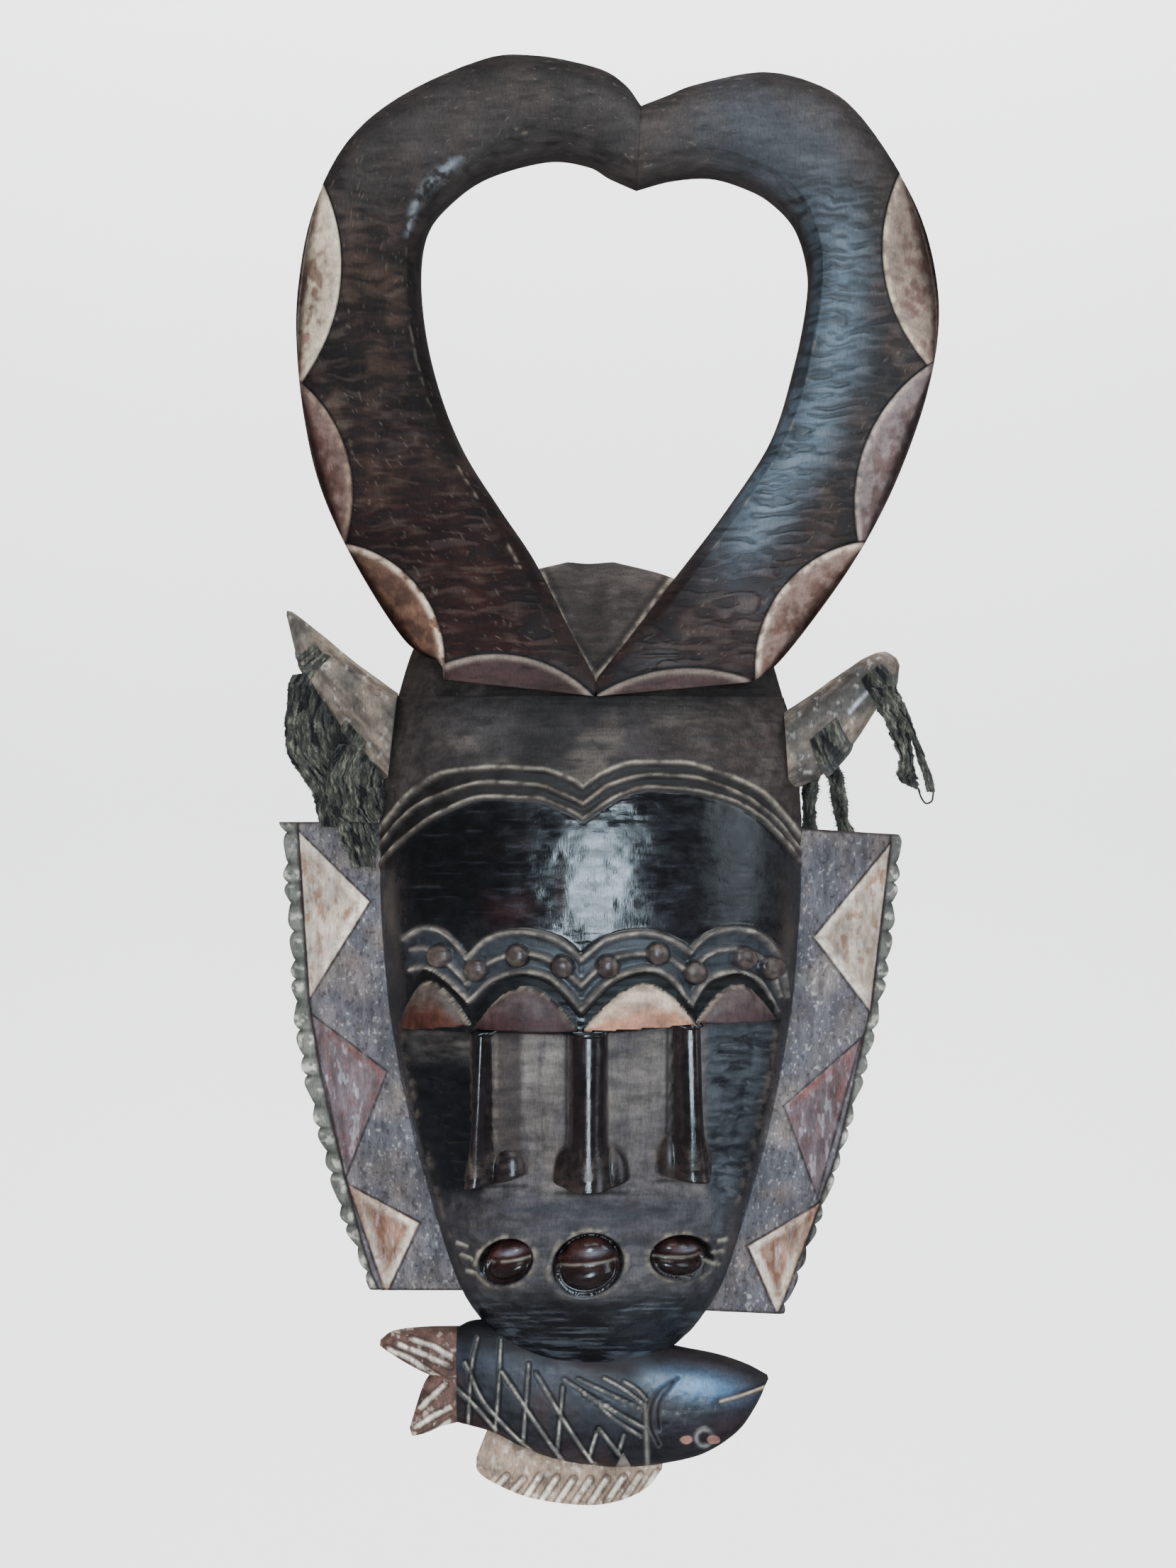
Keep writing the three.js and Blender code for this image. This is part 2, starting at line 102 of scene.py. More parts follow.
def softbox(name, place, aim, size, power, colour=(1, 1, 1), mirrored=True):
    data = bpy.data.lights.new(name, "AREA")
    data.shape = "RECTANGLE"
    data.size, data.size_y = size
    data.energy = power
    data.color = colour
    lamp = bpy.data.objects.new(name, data)
    lamp.location = place
    direction = np.array(aim, float) - np.array(place, float)
    flat = math.hypot(direction[0], direction[1])
    lamp.rotation_euler = (
        math.atan2(flat, -direction[2]),
        0,
        math.atan2(direction[1], direction[0]) - math.pi / 2,
    )
    lamp.visible_glossy = mirrored
    bpy.context.scene.collection.objects.link(lamp)


def make_lights():
    world = bpy.data.worlds.new("world")
    world.use_nodes = True
    world.node_tree.nodes["Background"].inputs["Color"].default_value = (0.93, 0.95, 1.0, 1)
    world.node_tree.nodes["Background"].inputs["Strength"].default_value = 0.12
    bpy.context.scene.world = world
    centre = (0, 0, 0)
    softbox("window", (0.06, -1.9, 0.17), centre, (0.24, 1.15), 25, (0.68, 0.87, 1.0))
    softbox("sky_right", (1.9, -1.0, 0.6), centre, (1.0, 1.6), 14, (0.80, 0.92, 1.0))
    softbox("front", (-0.3, -2.0, 0.5), centre, (1.2, 1.2), 11, (1.0, 0.94, 0.88), mirrored=False)
    softbox("room_left", (-1.6, -1.4, 0.5), centre, (1.2, 1.4), 12, (1.0, 0.97, 0.94), mirrored=False)
    softbox("above", (0.1, -0.9, 1.7), centre, (1.4, 1.0), 12)
    softbox("behind", (0, 0.9, 2.0), (0, 2.2, 0.1), (3.4, 1.5), 230, mirrored=False)


make_camera()


# ------------------------------------------------------------------ numbers and curves
def srgb(*rgb):
    """A colour named by its 0 to 255 screen values, as linear light."""
    c = np.array(rgb, float) / 255
    return np.where(c <= 0.04045, c / 12.92, ((c + 0.055) / 1.055) ** 2.4)


def linear(colour):
    return srgb(*colour) if isinstance(colour, tuple) else np.asarray(colour)


def step(low, high, x):
    t = np.clip((np.asarray(x, float) - low) / (high - low), 0, 1)
    return t * t * (3 - 2 * t)


def peak(distance, width):
    return np.exp(-((distance / width) ** 2))


def curve_through(pairs):
    """A smooth function through the pairs that never swings past them (monotone cubic)."""
    x, y = np.array(pairs, float).T
    order = np.argsort(x)
    x, y = x[order], y[order]
    slope = np.diff(y) / np.diff(x)
    tangent = np.concatenate(([slope[0]], np.zeros(len(x) - 2), [slope[-1]]))
    same = slope[:-1] * slope[1:] > 0
    mean = 2 * slope[:-1] * slope[1:] / np.where(same, slope[:-1] + slope[1:], 1)
    tangent[1:-1] = np.where(same, mean, 0)

    def value(at):
        at = np.clip(at, x[0], x[-1])
        i = np.clip(np.searchsorted(x, at) - 1, 0, len(x) - 2)
        width = x[i + 1] - x[i]
        t = (at - x[i]) / width
        rise = 3 * t**2 - 2 * t**3
        bend = t * (1 - t)
        level = y[i] * (1 - rise) + y[i + 1] * rise
        return level + width * bend * ((1 - t) * tangent[i] - t * tangent[i + 1])

    return value


CURVE_STEPS = 24  # between two points of a smooth line
LATTICE = 256


def smooth_line(points, count):
    """count points evenly along a Catmull-Rom curve through the points."""
    p = np.array(points, float)
    p = np.vstack((2 * p[0] - p[1], p, 2 * p[-1] - p[-2]))
    t = np.linspace(0, 1, CURVE_STEPS, endpoint=False)[:, None]
    pieces = []
    for a, b, c, d in zip(p[:-3], p[1:-2], p[2:-1], p[3:]):
        bend, twist = 2 * a - 5 * b + 4 * c - d, 3 * b - a - 3 * c + d
        pieces.append(0.5 * (2 * b + (c - a) * t + bend * t**2 + twist * t**3))
    dense = np.vstack((*pieces, p[-2:-1]))
    return resample(dense, count)


def resample(dense, count):
    along = np.concatenate(([0], np.cumsum(np.linalg.norm(np.diff(dense, axis=0), axis=1))))
    want = np.linspace(0, along[-1], count)
    return np.column_stack([np.interp(want, along, dense[:, k]) for k in range(dense.shape[1])])


def to_line(x, z, points):
    """The distance from each place to a line through the points, and how far along it that is."""
    best = np.full(np.shape(x), 1e9)
    where = np.zeros(np.shape(x))
    p = np.array(points, float)
    lengths = np.linalg.norm(np.diff(p, axis=0), axis=1)
    start = 0.0
    for a, b, length in zip(p[:-1], p[1:], lengths):
        t = np.clip(((x - a[0]) * (b[0] - a[0]) + (z - a[1]) * (b[1] - a[1])) / length**2, 0, 1)
        d = np.hypot(x - a[0] - t * (b[0] - a[0]), z - a[1] - t * (b[1] - a[1]))
        nearer = d < best
        best = np.where(nearer, d, best)
        where = np.where(nearer, (start + t * length) / lengths.sum(), where)
        start += length
    return best, where


def noise(x, z, size, seed, octaves=3):
    """Soft random patches of about the given size, from 0 to 1. size may be one for x, one for z."""
    size_x, size_z = size if hasattr(size, "__len__") else (size, size)
    total, weight = 0.0, 0.0
    for k in range(octaves):
        lattice = np.random.default_rng(seed + k).random((LATTICE, LATTICE))
        u, v = x / size_x * 2**k + 100, z / size_z * 2**k + 100
        i, j = np.floor(u).astype(int), np.floor(v).astype(int)
        fu, fv = step(0, 1, u - i), step(0, 1, v - j)
        i0, j0, i1, j1 = i % LATTICE, j % LATTICE, (i + 1) % LATTICE, (j + 1) % LATTICE
        low = lattice[i0, j0] * (1 - fu) + lattice[i1, j0] * fu
        high = lattice[i0, j1] * (1 - fu) + lattice[i1, j1] * fu
        total = total + 0.5**k * (low * (1 - fv) + high * fv)
        weight += 0.5**k
    return total / weight


def on_plane(points):
    """Where points [.., x y z] appear on the plane y = -40 seen from the eye, as x and z."""
    scale = EYE_DISTANCE / (EYE_DISTANCE + points[..., 1] - PLANE_Y)
    return EYE_X + (points[..., 0] - EYE_X) * scale, EYE_Z + (points[..., 2] - EYE_Z) * scale


def inside_triangle(x, z, corners):
    """How far inside a triangle each place is, negative outside."""
    c = np.array(corners, float)
    turn = np.sign(np.cross(c[1] - c[0], c[2] - c[0]))
    best = np.full(np.shape(x), 1e9)
    for a, b in zip(c, np.roll(c, -1, axis=0)):
        edge = (b - a) / np.linalg.norm(b - a)
        best = np.minimum(best, turn * (edge[0] * (z - a[1]) - edge[1] * (x - a[0])))
    return best


def circle_through(a, b, c):
    """The centre and radius of the circle through three points."""
    (ax, az), (bx, bz), (cx, cz) = a, b, c
    d = 2 * (ax * (bz - cz) + bx * (cz - az) + cx * (az - bz))
    aa, bb, cc = ax**2 + az**2, bx**2 + bz**2, cx**2 + cz**2
    ux = (aa * (bz - cz) + bb * (cz - az) + cc * (az - bz)) / d
    uz = (aa * (cx - bx) + bb * (ax - cx) + cc * (bx - ax)) / d
    return (ux, uz), math.hypot(ax - ux, az - uz)


def unit_grid(rows, columns):
    """Two grids of numbers from 0 to 1, one rising along the rows and one along the columns."""
    return np.meshgrid(np.linspace(0, 1, rows), np.linspace(0, 1, columns), indexing="ij")


class Paint:
    """The colour and gloss of a surface, laid on in layers. A colour is a tuple of 0 to 255 screen
    values, or an array that is already linear light."""

    def __init__(self, shape, colour, gloss):
        self.colour = np.empty((*shape, 3))
        self.colour[:] = linear(colour)
        self.gloss = np.full(shape, float(gloss))

    def lay(self, amount, colour, gloss=None):
        amount = np.clip(amount, 0, 1)
        self.colour += amount[..., None] * (linear(colour) - self.colour)
        if gloss is not None:
            self.gloss += amount * (gloss - self.gloss)


class Surface(Paint):
    """A painted surface being carved: its places on the plane y = -40, its height and other fields."""

    def __init__(self, x, z, colour, gloss, **fields):
        super().__init__(x.shape, colour, gloss)
        self.x, self.z = x, z
        self.height = np.zeros(x.shape)
        vars(self).update(fields)


# ------------------------------------------------------------------ meshes
def normals(grid):
    """Unit normals of a grid of points, turned to face -Y in the middle."""
    along = np.gradient(grid, axis=0)
    across = np.gradient(grid, axis=1)
    n = np.cross(across, along)
    n /= np.maximum(np.linalg.norm(n, axis=-1, keepdims=True), 1e-9)
    middle = n[n.shape[0] // 2, n.shape[1] // 2, 1]
    return n if middle < 0 else -n


def grid_faces(rows, columns, wrap=False):
    r = np.arange(rows - 1)[:, None]
    c = np.arange(columns if wrap else columns - 1)[None, :]
    n = (c + 1) % columns
    faces = np.stack(
        [r * columns + c, r * columns + n, (r + 1) * columns + n, (r + 1) * columns + c], axis=-1
    )
    return faces.reshape(-1, 4)


def add_piece(name, verts, faces, colour, gloss, slot, nodes, body, ends=()):
    """A mesh with a colour and a gloss at each vertex, riding on a body in place of the nodes."""
    mesh = bpy.data.meshes.new(name)
    mesh.from_pydata((np.asarray(verts) * MM).tolist(), [], [*faces.tolist(), *ends])
    layer = mesh.color_attributes.new("paint", "FLOAT_COLOR", "POINT")
    rgba = np.ones((len(verts), 4))
    rgba[:, :3] = np.clip(colour, 0, 1)
    layer.data.foreach_set("color", rgba.ravel())
    layer = mesh.attributes.new("gloss", "FLOAT", "POINT")
    layer.data.foreach_set("value", np.clip(gloss, 0, 1))
    mesh.shade_smooth()
    mesh.materials.append(LOOKS[slot])
    piece = bpy.data.objects.new(name, mesh)
    bpy.context.scene.collection.objects.link(piece)
    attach(piece, body)
    if nodes:
        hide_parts(*nodes)
    face_out(piece)
    return piece


def slab(name, front, back, paint, slot, nodes, body="carving", bare=True):
    """A closed piece from a front and a back grid of the same shape, its back bare wood if bare."""
    rows, columns = front.shape[:2]
    count = rows * columns
    index = np.arange(count).reshape(rows, columns)
    rim = np.concatenate((index[0, :], index[1:, -1], index[-1, -2::-1], index[-2:0:-1, 0]))
    following = np.roll(rim, -1)
    sides = np.stack([rim, rim + count, following + count, following], axis=-1)
    faces = grid_faces(rows, columns)
    faces = np.vstack((faces, faces[:, ::-1] + count, sides))
    rear = paint
    if bare:
        rear = Paint(back.shape[:2], BARE_WOOD, 0.1)
        gouges = noise(back[..., 0], back[..., 2], (5, 20), 301, 2)
        rear.lay(step(0.4, 0.7, gouges) * 0.7, BARE_WOOD * 0.5)
        rear.lay(step(0.5, 0.75, noise(back[..., 0], back[..., 2], 24, 305)) * 0.6, BARE_WOOD * 1.5)
    verts = np.vstack((front.reshape(-1, 3), back.reshape(-1, 3)))
    colour = np.vstack((paint.colour.reshape(-1, 3), rear.colour.reshape(-1, 3)))
    gloss = np.concatenate((paint.gloss.ravel(), rear.gloss.ravel()))
    return add_piece(name, verts, faces, colour, gloss, slot, nodes, body)


def ring_body(name, rings, paint, slot, nodes, body="carving"):
    """A closed piece from rings of points, each closed round, capped at both ends."""
    rows, columns = rings.shape[:2]
    faces = grid_faces(rows, columns, wrap=True)
    ends = [list(range(columns))[::-1], list(range((rows - 1) * columns, rows * columns))]
    colour, gloss = paint.colour.reshape(-1, 3), paint.gloss.ravel()
    return add_piece(name, rings.reshape(-1, 3), faces, colour, gloss, slot, nodes, body, ends)


def face_out(piece):
    """Turn the piece inside out if its faces point inwards."""
    polygons = piece.data.polygons
    read = {}
    for key, size in (("center", 3), ("normal", 3), ("area", 1)):
        read[key] = np.empty(len(polygons) * size)
        polygons.foreach_get(key, read[key])
    volume = (read["center"] * read["normal"]).reshape(-1, 3).sum(axis=1) @ read["area"]
    if volume < 0:
        piece.data.flip_normals()


def at_y(grid, y):
    """The grid of points, moved to the depth y."""
    return np.stack(np.broadcast_arrays(grid[..., 0], y, grid[..., 2]), axis=-1)


def grow(points, height, shares=(1, 1, 1)):
    """A ring body's points, moved away from the middle of their ring."""
    out = points - points.mean(axis=1, keepdims=True)
    out /= np.maximum(np.linalg.norm(out, axis=-1, keepdims=True), 1e-6)
    return points + out * height[..., None] * np.array(shares)


# ------------------------------------------------------------------ materials
class Nodes:
    """A small helper that adds and links nodes in one material."""

    def __init__(self, name):
        self.material = bpy.data.materials.new(name)
        self.material.use_nodes = True
        self.tree = self.material.node_tree
        self.shader = self.tree.nodes["Principled BSDF"]

    def add(self, kind, inputs=None, **settings):
        node = self.tree.nodes.new(kind)
        for key, value in settings.items():
            setattr(node, key, value)
        for key, value in (inputs or {}).items():
            self.put(value, node.inputs[key])
        return node

    def put(self, value, socket):
        if isinstance(value, bpy.types.NodeSocket):
            self.tree.links.new(value, socket)
        else:
            socket.default_value = value

    def noise(self, scale, detail=4.0, roughness=0.55, stretch=(1, 1, 1), distortion=0.0):
        place = self.add("ShaderNodeTexCoord").outputs["Object"]
        scaled = self.add("ShaderNodeMapping", {"Vector": place, "Scale": stretch}).outputs[0]
        inputs = {"Vector": scaled, "Scale": scale, "Detail": detail, "Roughness": roughness}
        return self.add("ShaderNodeTexNoise", {**inputs, "Distortion": distortion}).outputs["Fac"]

    def ramp(self, value, low, high, to_low=0.0, to_high=1.0):
        node = self.add(
            "ShaderNodeMapRange",
            {"Value": value, "From Min": low, "From Max": high, "To Min": to_low, "To Max": to_high},
            interpolation_type="SMOOTHSTEP",
        )
        return node.outputs["Result"]

    def math(self, operation, a, b=0.0):
        return self.add("ShaderNodeMath", {0: a, 1: b}, operation=operation).outputs[0]

    def mix(self, factor, a, b, blend="MIX"):
        node = self.add("ShaderNodeMix", data_type="RGBA", blend_type=blend)
        self.put(factor, node.inputs["Factor"])
        self.put(a, node.inputs["A"])
        self.put(b, node.inputs["B"])
        return node.outputs["Result"]


def carved_wood(name, cut, dust=(0.12, 0.10, 0.085), dusting=0.5, streak=0.5, relief=0.5):
    """Stained, painted and handled wood. cut stretches the tool marks; the paint comes by vertex."""
    n = Nodes(name)
    paint = n.add("ShaderNodeAttribute", attribute_name="paint").outputs["Color"]
    gloss = n.add("ShaderNodeAttribute", attribute_name="gloss").outputs["Fac"]
    blotches = n.noise(28, 4, 0.6)
    marks = n.noise(260, 4, 0.62, cut)
    pores = n.noise(1500, 3, 0.6, (1, 1, 0.25))
    specks = n.noise(620, 5, 0.7)
    scratches = n.noise(520, 2, 0.5, (1, 1, 0.12), 0.4)

    tone = n.ramp(blotches, 0.3, 0.7, 0.74, 1.28)
    tone = n.math("MULTIPLY", tone, n.ramp(marks, 0.32, 0.68, 1 - streak * 0.6, 1 + streak * 0.7))
    tone = n.math("MULTIPLY", tone, n.ramp(pores, 0.35, 0.6, 0.82, 1.08))
    shade = n.add("ShaderNodeCombineColor", {"Red": tone, "Green": tone, "Blue": tone}).outputs[0]
    colour = n.mix(1.0, paint, shade, "MULTIPLY")
    matte = n.ramp(gloss, 0.15, 0.75, 1.0, 0.12)
    dusty = n.math("MULTIPLY", n.ramp(specks, 0.62, 0.76, 0, dusting), matte)
    colour = n.mix(dusty, colour, (*dust, 1))
    scratched = n.math("MULTIPLY", n.ramp(scratches, 0.72, 0.80, 0, 0.35), n.ramp(blotches, 0.5, 0.65))
    colour = n.mix(scratched, colour, (*dust, 1))
    n.put(colour, n.shader.inputs["Base Color"])

    n.put(n.ramp(gloss, 0.2, 0.8, 0.2, 0.6), n.shader.inputs["Specular IOR Level"])
    rough = n.ramp(gloss, 0.0, 1.0, 0.9, 0.15)
    rough = n.math("ADD", rough, n.ramp(marks, 0.3, 0.7, -0.07, 0.09))
    rough = n.math("ADD", rough, n.math("MULTIPLY", dusty, 0.3))
    n.put(n.math("MAXIMUM", rough, 0.1), n.shader.inputs["Roughness"])

    height = n.math("ADD", n.math("MULTIPLY", marks, 1.0), n.math("MULTIPLY", pores, 0.35))
    height = n.math("ADD", height, n.math("MULTIPLY", specks, 0.25))
    strength = n.ramp(gloss, 0.4, 0.9, relief, relief * 0.45)
    bump = n.add("ShaderNodeBump", {"Height": height, "Strength": strength, "Distance": 0.0006})
    n.put(bump.outputs["Normal"], n.shader.inputs["Normal"])
    return n.material


def old_cloth(name):
    """Dry, dusty, fibrous strips, nearly black in the creases."""
    n = Nodes(name)
    paint = n.add("ShaderNodeAttribute", attribute_name="paint").outputs["Color"]
    fibres = n.noise(900, 5, 0.7, (1, 1, 0.12), 0.3)
    patches = n.noise(160, 4, 0.6)
    weave = n.noise(2200, 3, 0.6)
    tone = n.ramp(fibres, 0.3, 0.7, 0.35, 1.75)
    tone = n.math("MULTIPLY", tone, n.ramp(patches, 0.3, 0.7, 0.6, 1.5))
    shade = n.add("ShaderNodeCombineColor", {"Red": tone, "Green": tone, "Blue": tone}).outputs[0]
    n.put(n.mix(1.0, paint, shade, "MULTIPLY"), n.shader.inputs["Base Color"])
    n.put(n.ramp(fibres, 0.3, 0.7, 0.98, 0.78), n.shader.inputs["Roughness"])
    n.shader.inputs["Sheen Weight"].default_value = 0.15
    n.shader.inputs["Specular IOR Level"].default_value = 0.25
    height = n.math("ADD", fibres, n.math("MULTIPLY", weave, 0.5))
    bump = n.add("ShaderNodeBump", {"Height": height, "Strength": 0.9, "Distance": 0.001})
    n.put(bump.outputs["Normal"], n.shader.inputs["Normal"])
    return n.material


# The material of each slot.
LOOKS = {
    "face_wood": carved_wood("face_wood", (0.3, 1, 0.9), dusting=0.55, relief=0.4),
    "horn_wood": carved_wood("horn_wood", (0.3, 1, 1.0), dusting=0.35, streak=0.35, relief=0.4),
    "wing_wood": carved_wood("wing_wood", (1.0, 1, 0.35), (0.36, 0.33, 0.30), 0.6, 0.45),
    "ear_wood": carved_wood("ear_wood", (0.6, 1, 0.6), dusting=0.6, streak=0.6),
    "fish_wood": carved_wood("fish_wood", (0.25, 1, 1.0), dusting=0.3, streak=0.4, relief=0.25),
    "fin_wood": carved_wood("fin_wood", (1.0, 1, 0.5), (0.5, 0.45, 0.4)),
    "tie_cloth": old_cloth("tie_cloth"),
}

# What the wood and the paint are coloured with. DEEP is also used for painted shade.
BLACK = srgb(20, 20, 23)
DEEP = srgb(12, 11, 12)
WORN = srgb(150, 140, 126)
BARE_WOOD = srgb(60, 47, 39)


# ------------------------------------------------------------------ head
HALF_WIDTH = curve_through(
    [
        (-244, 10), (-240, 24), (-232, 37), (-220, 48), (-208, 55), (-188, 62), (-168, 68),
        (-144, 74.5), (-118, 80), (-80, 85.5), (-35, 88), (5, 86.5), (23, 84), (38, 80),
        (59, 73), (70, 64), (80, 49), (88, 30), (93, 10),
    ]
)
MIDDLE_DEPTH = curve_through(
    [
        (-244, 24), (-238, 38), (-225, 52), (-210, 60), (-190, 64), (-150, 68), (-103, 72),
        (-60, 75), (-30, 73), (0, 67), (20, 62), (40, 55), (60, 46), (78, 36), (93, 24),
    ]
)
HEAD_EDGE = 20.0
SECTION_POWER = 2.3
WALL = 14.0
HOLLOW_TOP, HOLLOW_BOTTOM = -14.0, -229.0
CHIN, SPLIT, CROWN = -244.0, 36.0, 93.0
FACE_MESH, CROWN_MESH = (520, 330), (150, 260)


def head_depth(x, z):
    side = np.minimum(np.abs(x) / HALF_WIDTH(z), 1)
    return HEAD_EDGE + (MIDDLE_DEPTH(z) - HEAD_EDGE) * np.sqrt(1 - side**SECTION_POWER)


def head_grid(low, high, rows, columns):
    z = low + (high - low) * (0.5 - 0.5 * np.cos(np.linspace(0, np.pi, rows)))
    z = 0.35 * z + 0.65 * np.linspace(low, high, rows)
    u = np.linspace(-1, 1, columns)
    z, u = np.meshgrid(z, u, indexing="ij")
    x = HALF_WIDTH(z) * np.sin(np.pi / 2 * u)
    return np.stack([x, -head_depth(x, z), z], axis=-1)


DIP_X = -3  # the dip between the two halves of the hairline
HAIRLINES = [
    (
        [(-90, -27), (-85, -17), (-72, -2), (-59, 5), (-39, 7), (-20, 6), (-9, 2.5), (-3, -1)],
        [(-3, -1), (5, 4.5), (19, 9), (36, 9), (55, 4), (70, -3), (82, -16), (90, -27)],
    ),
    (
        [(-90, -33), (-86, -24), (-72, -9), (-59, -3), (-43, 1), (-23, 0), (-10, -4.5), (-3, -8)],
        [(-3, -8), (3, -3.5), (8, 0), (26, 4), (42, 3), (60, -3), (75, -13), (90, -32)],
    ),
    (
        [(-90, -40), (-85, -30), (-72, -18), (-63, -12), (-43, -5), (-23, -5.5), (-10, -10), (-3, -14)],
        [(-3, -14), (5, -8.5), (14, -3.5), (24, -1), (39, -2), (57, -6), (70, -13), (80, -23), (90, -37)],
    ),
]
# Each brow arch: its three raised lines from the left cusp over the top to the right cusp.
BROWS = [
    [
        [(-76.4, -63.7), (-69, -59.4), (-60, -61.5), (-50.6, -71.6)],
        [(-74, -68), (-68, -67.6), (-61, -71.5), (-50.6, -81.8)],
        [(-74, -76), (-69, -75.2), (-62, -78), (-49.6, -88.8)],
    ],
    [
        [(-50.6, -71.6), (-42, -63.5), (-28.2, -60.8), (-14, -64), (-3.8, -72)],
        [(-50.6, -81.8), (-41, -73), (-28.7, -69.6), (-16, -72.5), (-3.8, -82.7)],
        [(-49.6, -88.8), (-40, -80), (-27.2, -76.9), (-15, -80.5), (-3.8, -92.5)],
    ],
    [
        [(-3.8, -72), (7, -64), (21.5, -61.3), (33, -64), (41, -69)],
        [(-3.8, -82.7), (8, -72.5), (21.5, -69.6), (33, -72), (41, -77.9)],
        [(-3.8, -92.5), (9, -80), (24.5, -75.9), (34, -80), (41, -90.5)],
    ],
    [
        [(41, -69), (49, -62), (60.5, -59.4), (71, -63), (78, -73), (80.5, -87)],
        [(41, -77.9), (48, -70.5), (58.6, -67.6), (69, -70.5), (75, -77), (78, -87)],
        [(41, -90.5), (48, -80.5), (59.5, -76.9), (70, -81), (76.5, -92.5)],
    ],
]
BOSS_RADIUS = 4.7
BOSSES = [
    (-62, -70.6), (-47.2, -76.4), (-30.1, -70.6), (-11.6, -75), (7.2, -75), (27.9, -69.6),
    (43.2, -77.4), (63.2, -71.5), (74.2, -75.4),
]
# Each eyelid: left corner, top and right corner, then its upper and lower paint.
EYELIDS = [
    ((-77.4, -100.4), (-67.6, -81.3), (-49.6, -99.2), srgb(66, 56, 51), srgb(66, 34, 25)),
    ((-47.9, -100.5), (-26.7, -83.7), (-5.3, -102), srgb(74, 60, 59), srgb(56, 32, 34)),
    ((-2.8, -101.6), (22.0, -82.7), (42.5, -98.4), srgb(206, 184, 162), srgb(168, 118, 94)),
    ((44.0, -98.0), (60.5, -82.7), (75.1, -96.6), srgb(84, 69, 68), srgb(62, 44, 46)),
]
# Each nose: its ridge and half width, its left and right foot, its base, how high its wings
# flare from there, how high a plain slope stands beside the ridge, and how much of it is flat.
NOSES = [
    (-44.4, 4.2, -52.5, -27.5, -165, 8.0, 6.5, 0.04),
    (-0.9, 8.4, -15, 15.5, -167.5, 10.0, 0, 0.06),
    (40.2, 6.2, 28.5, 50.5, -162.8, 10.0, 0, 0.12),
]
NOSE_TOP, NOSE_FOOT = 7.5, 14.5
# Each mouth: its centre, half width, half height and how much its line rises to the right.
MOUTHS = [
    (-35.0, -196.8, 11.4, 9.6, 0.12),
    (-1.1, -198.0, 15.0, 13.2, 0.10),
    (37.6, -195.0, 13.2, 9.4, 0.03),
]
WHISKERS = [
    ((-56, -188.5), (-50, -191)), ((-54.5, -193.5), (-48, -196.5)), ((-52, -200.5), (-46, -201.5)),
    ((52, -188.5), (57.5, -187.3)), ((49.8, -193), (56, -192)), ((48, -196.8), (54, -198)),
]


def hairline(x, z, pair):
    """How far above one of the hairline's ribs each place is."""
    left, right = (curve_through(half) for half in pair)
    at, before, after = (np.where(x < DIP_X, left(u), right(u)) for u in (x, x - 0.5, x + 0.5))
    return (z - at) / np.sqrt(1 + (after - before) ** 2)


def carve_forehead(c):
    """The matt forehead, the three ribs of the hairline and the polished forehead below them."""
    x, z, lay, patch, fine, grain = c.x, c.z, c.lay, c.patch, c.fine, c.grain
    top, middle, bottom = (hairline(x, z, pair) for pair in HAIRLINES)
    forehead = step(-0.5, 1.5, top)
    lay(forehead, (50, 47, 47), 0.2)
    lay(forehead * step(0, 60, x) * 0.7, (62, 52, 49), 0.2)
    lay(forehead * step(0.45, 0.75, patch), (80, 73, 68), 0.15)
    lay(forehead * step(0.52, 0.66, grain) * 0.7, (50, 47, 47), 0.3)
    # Painted shadow under the horns' base, at the top of the forehead.
    lay(forehead * step(20, 38, z) * 0.6, DEEP, 0.3)
    lay(forehead * step(40, 80, np.abs(x)) * 0.5, (50, 42, 40))
    c.height += 0.9 * forehead

    # Three worn ribs over each half of the brow, dark between them.
    band = step(1.8, 0.2, top) * step(-2.4, -0.8, bottom)
    lay(band, (26, 22, 22), 0.5)
    for distance in (top, middle, bottom):
        rib = peak(distance, 1.05)
        c.height += 1.5 * rib
        lay(rib * 0.8, (78, 70, 66), 0.4)
        lay(peak(distance - 0.35, 0.6) * step(0.2, 0.6, fine) * 0.8, WORN, 0.3)
    c.height -= 0.7 * band

    # The polish, with a faint warm tint to one side and thin horizontal strokes.
    shine = step(-1.5, -4, bottom) * step(-64, -52, z)
    lay(shine * step(-12, -34, x) * 0.7, (6, 6, 7))
    warm = step(-50, -36, x) * step(-4, -14, x) * step(-18, -34, z)
    lay(shine * warm * step(0.3, 0.6, patch) * 0.6, (44, 24, 26))
    lay(shine * step(0.62, 0.8, grain) * 0.4, (46, 48, 54))
    lay(shine * step(36, 58, x) * 0.7, (26, 27, 30), 0.6)
    return shine


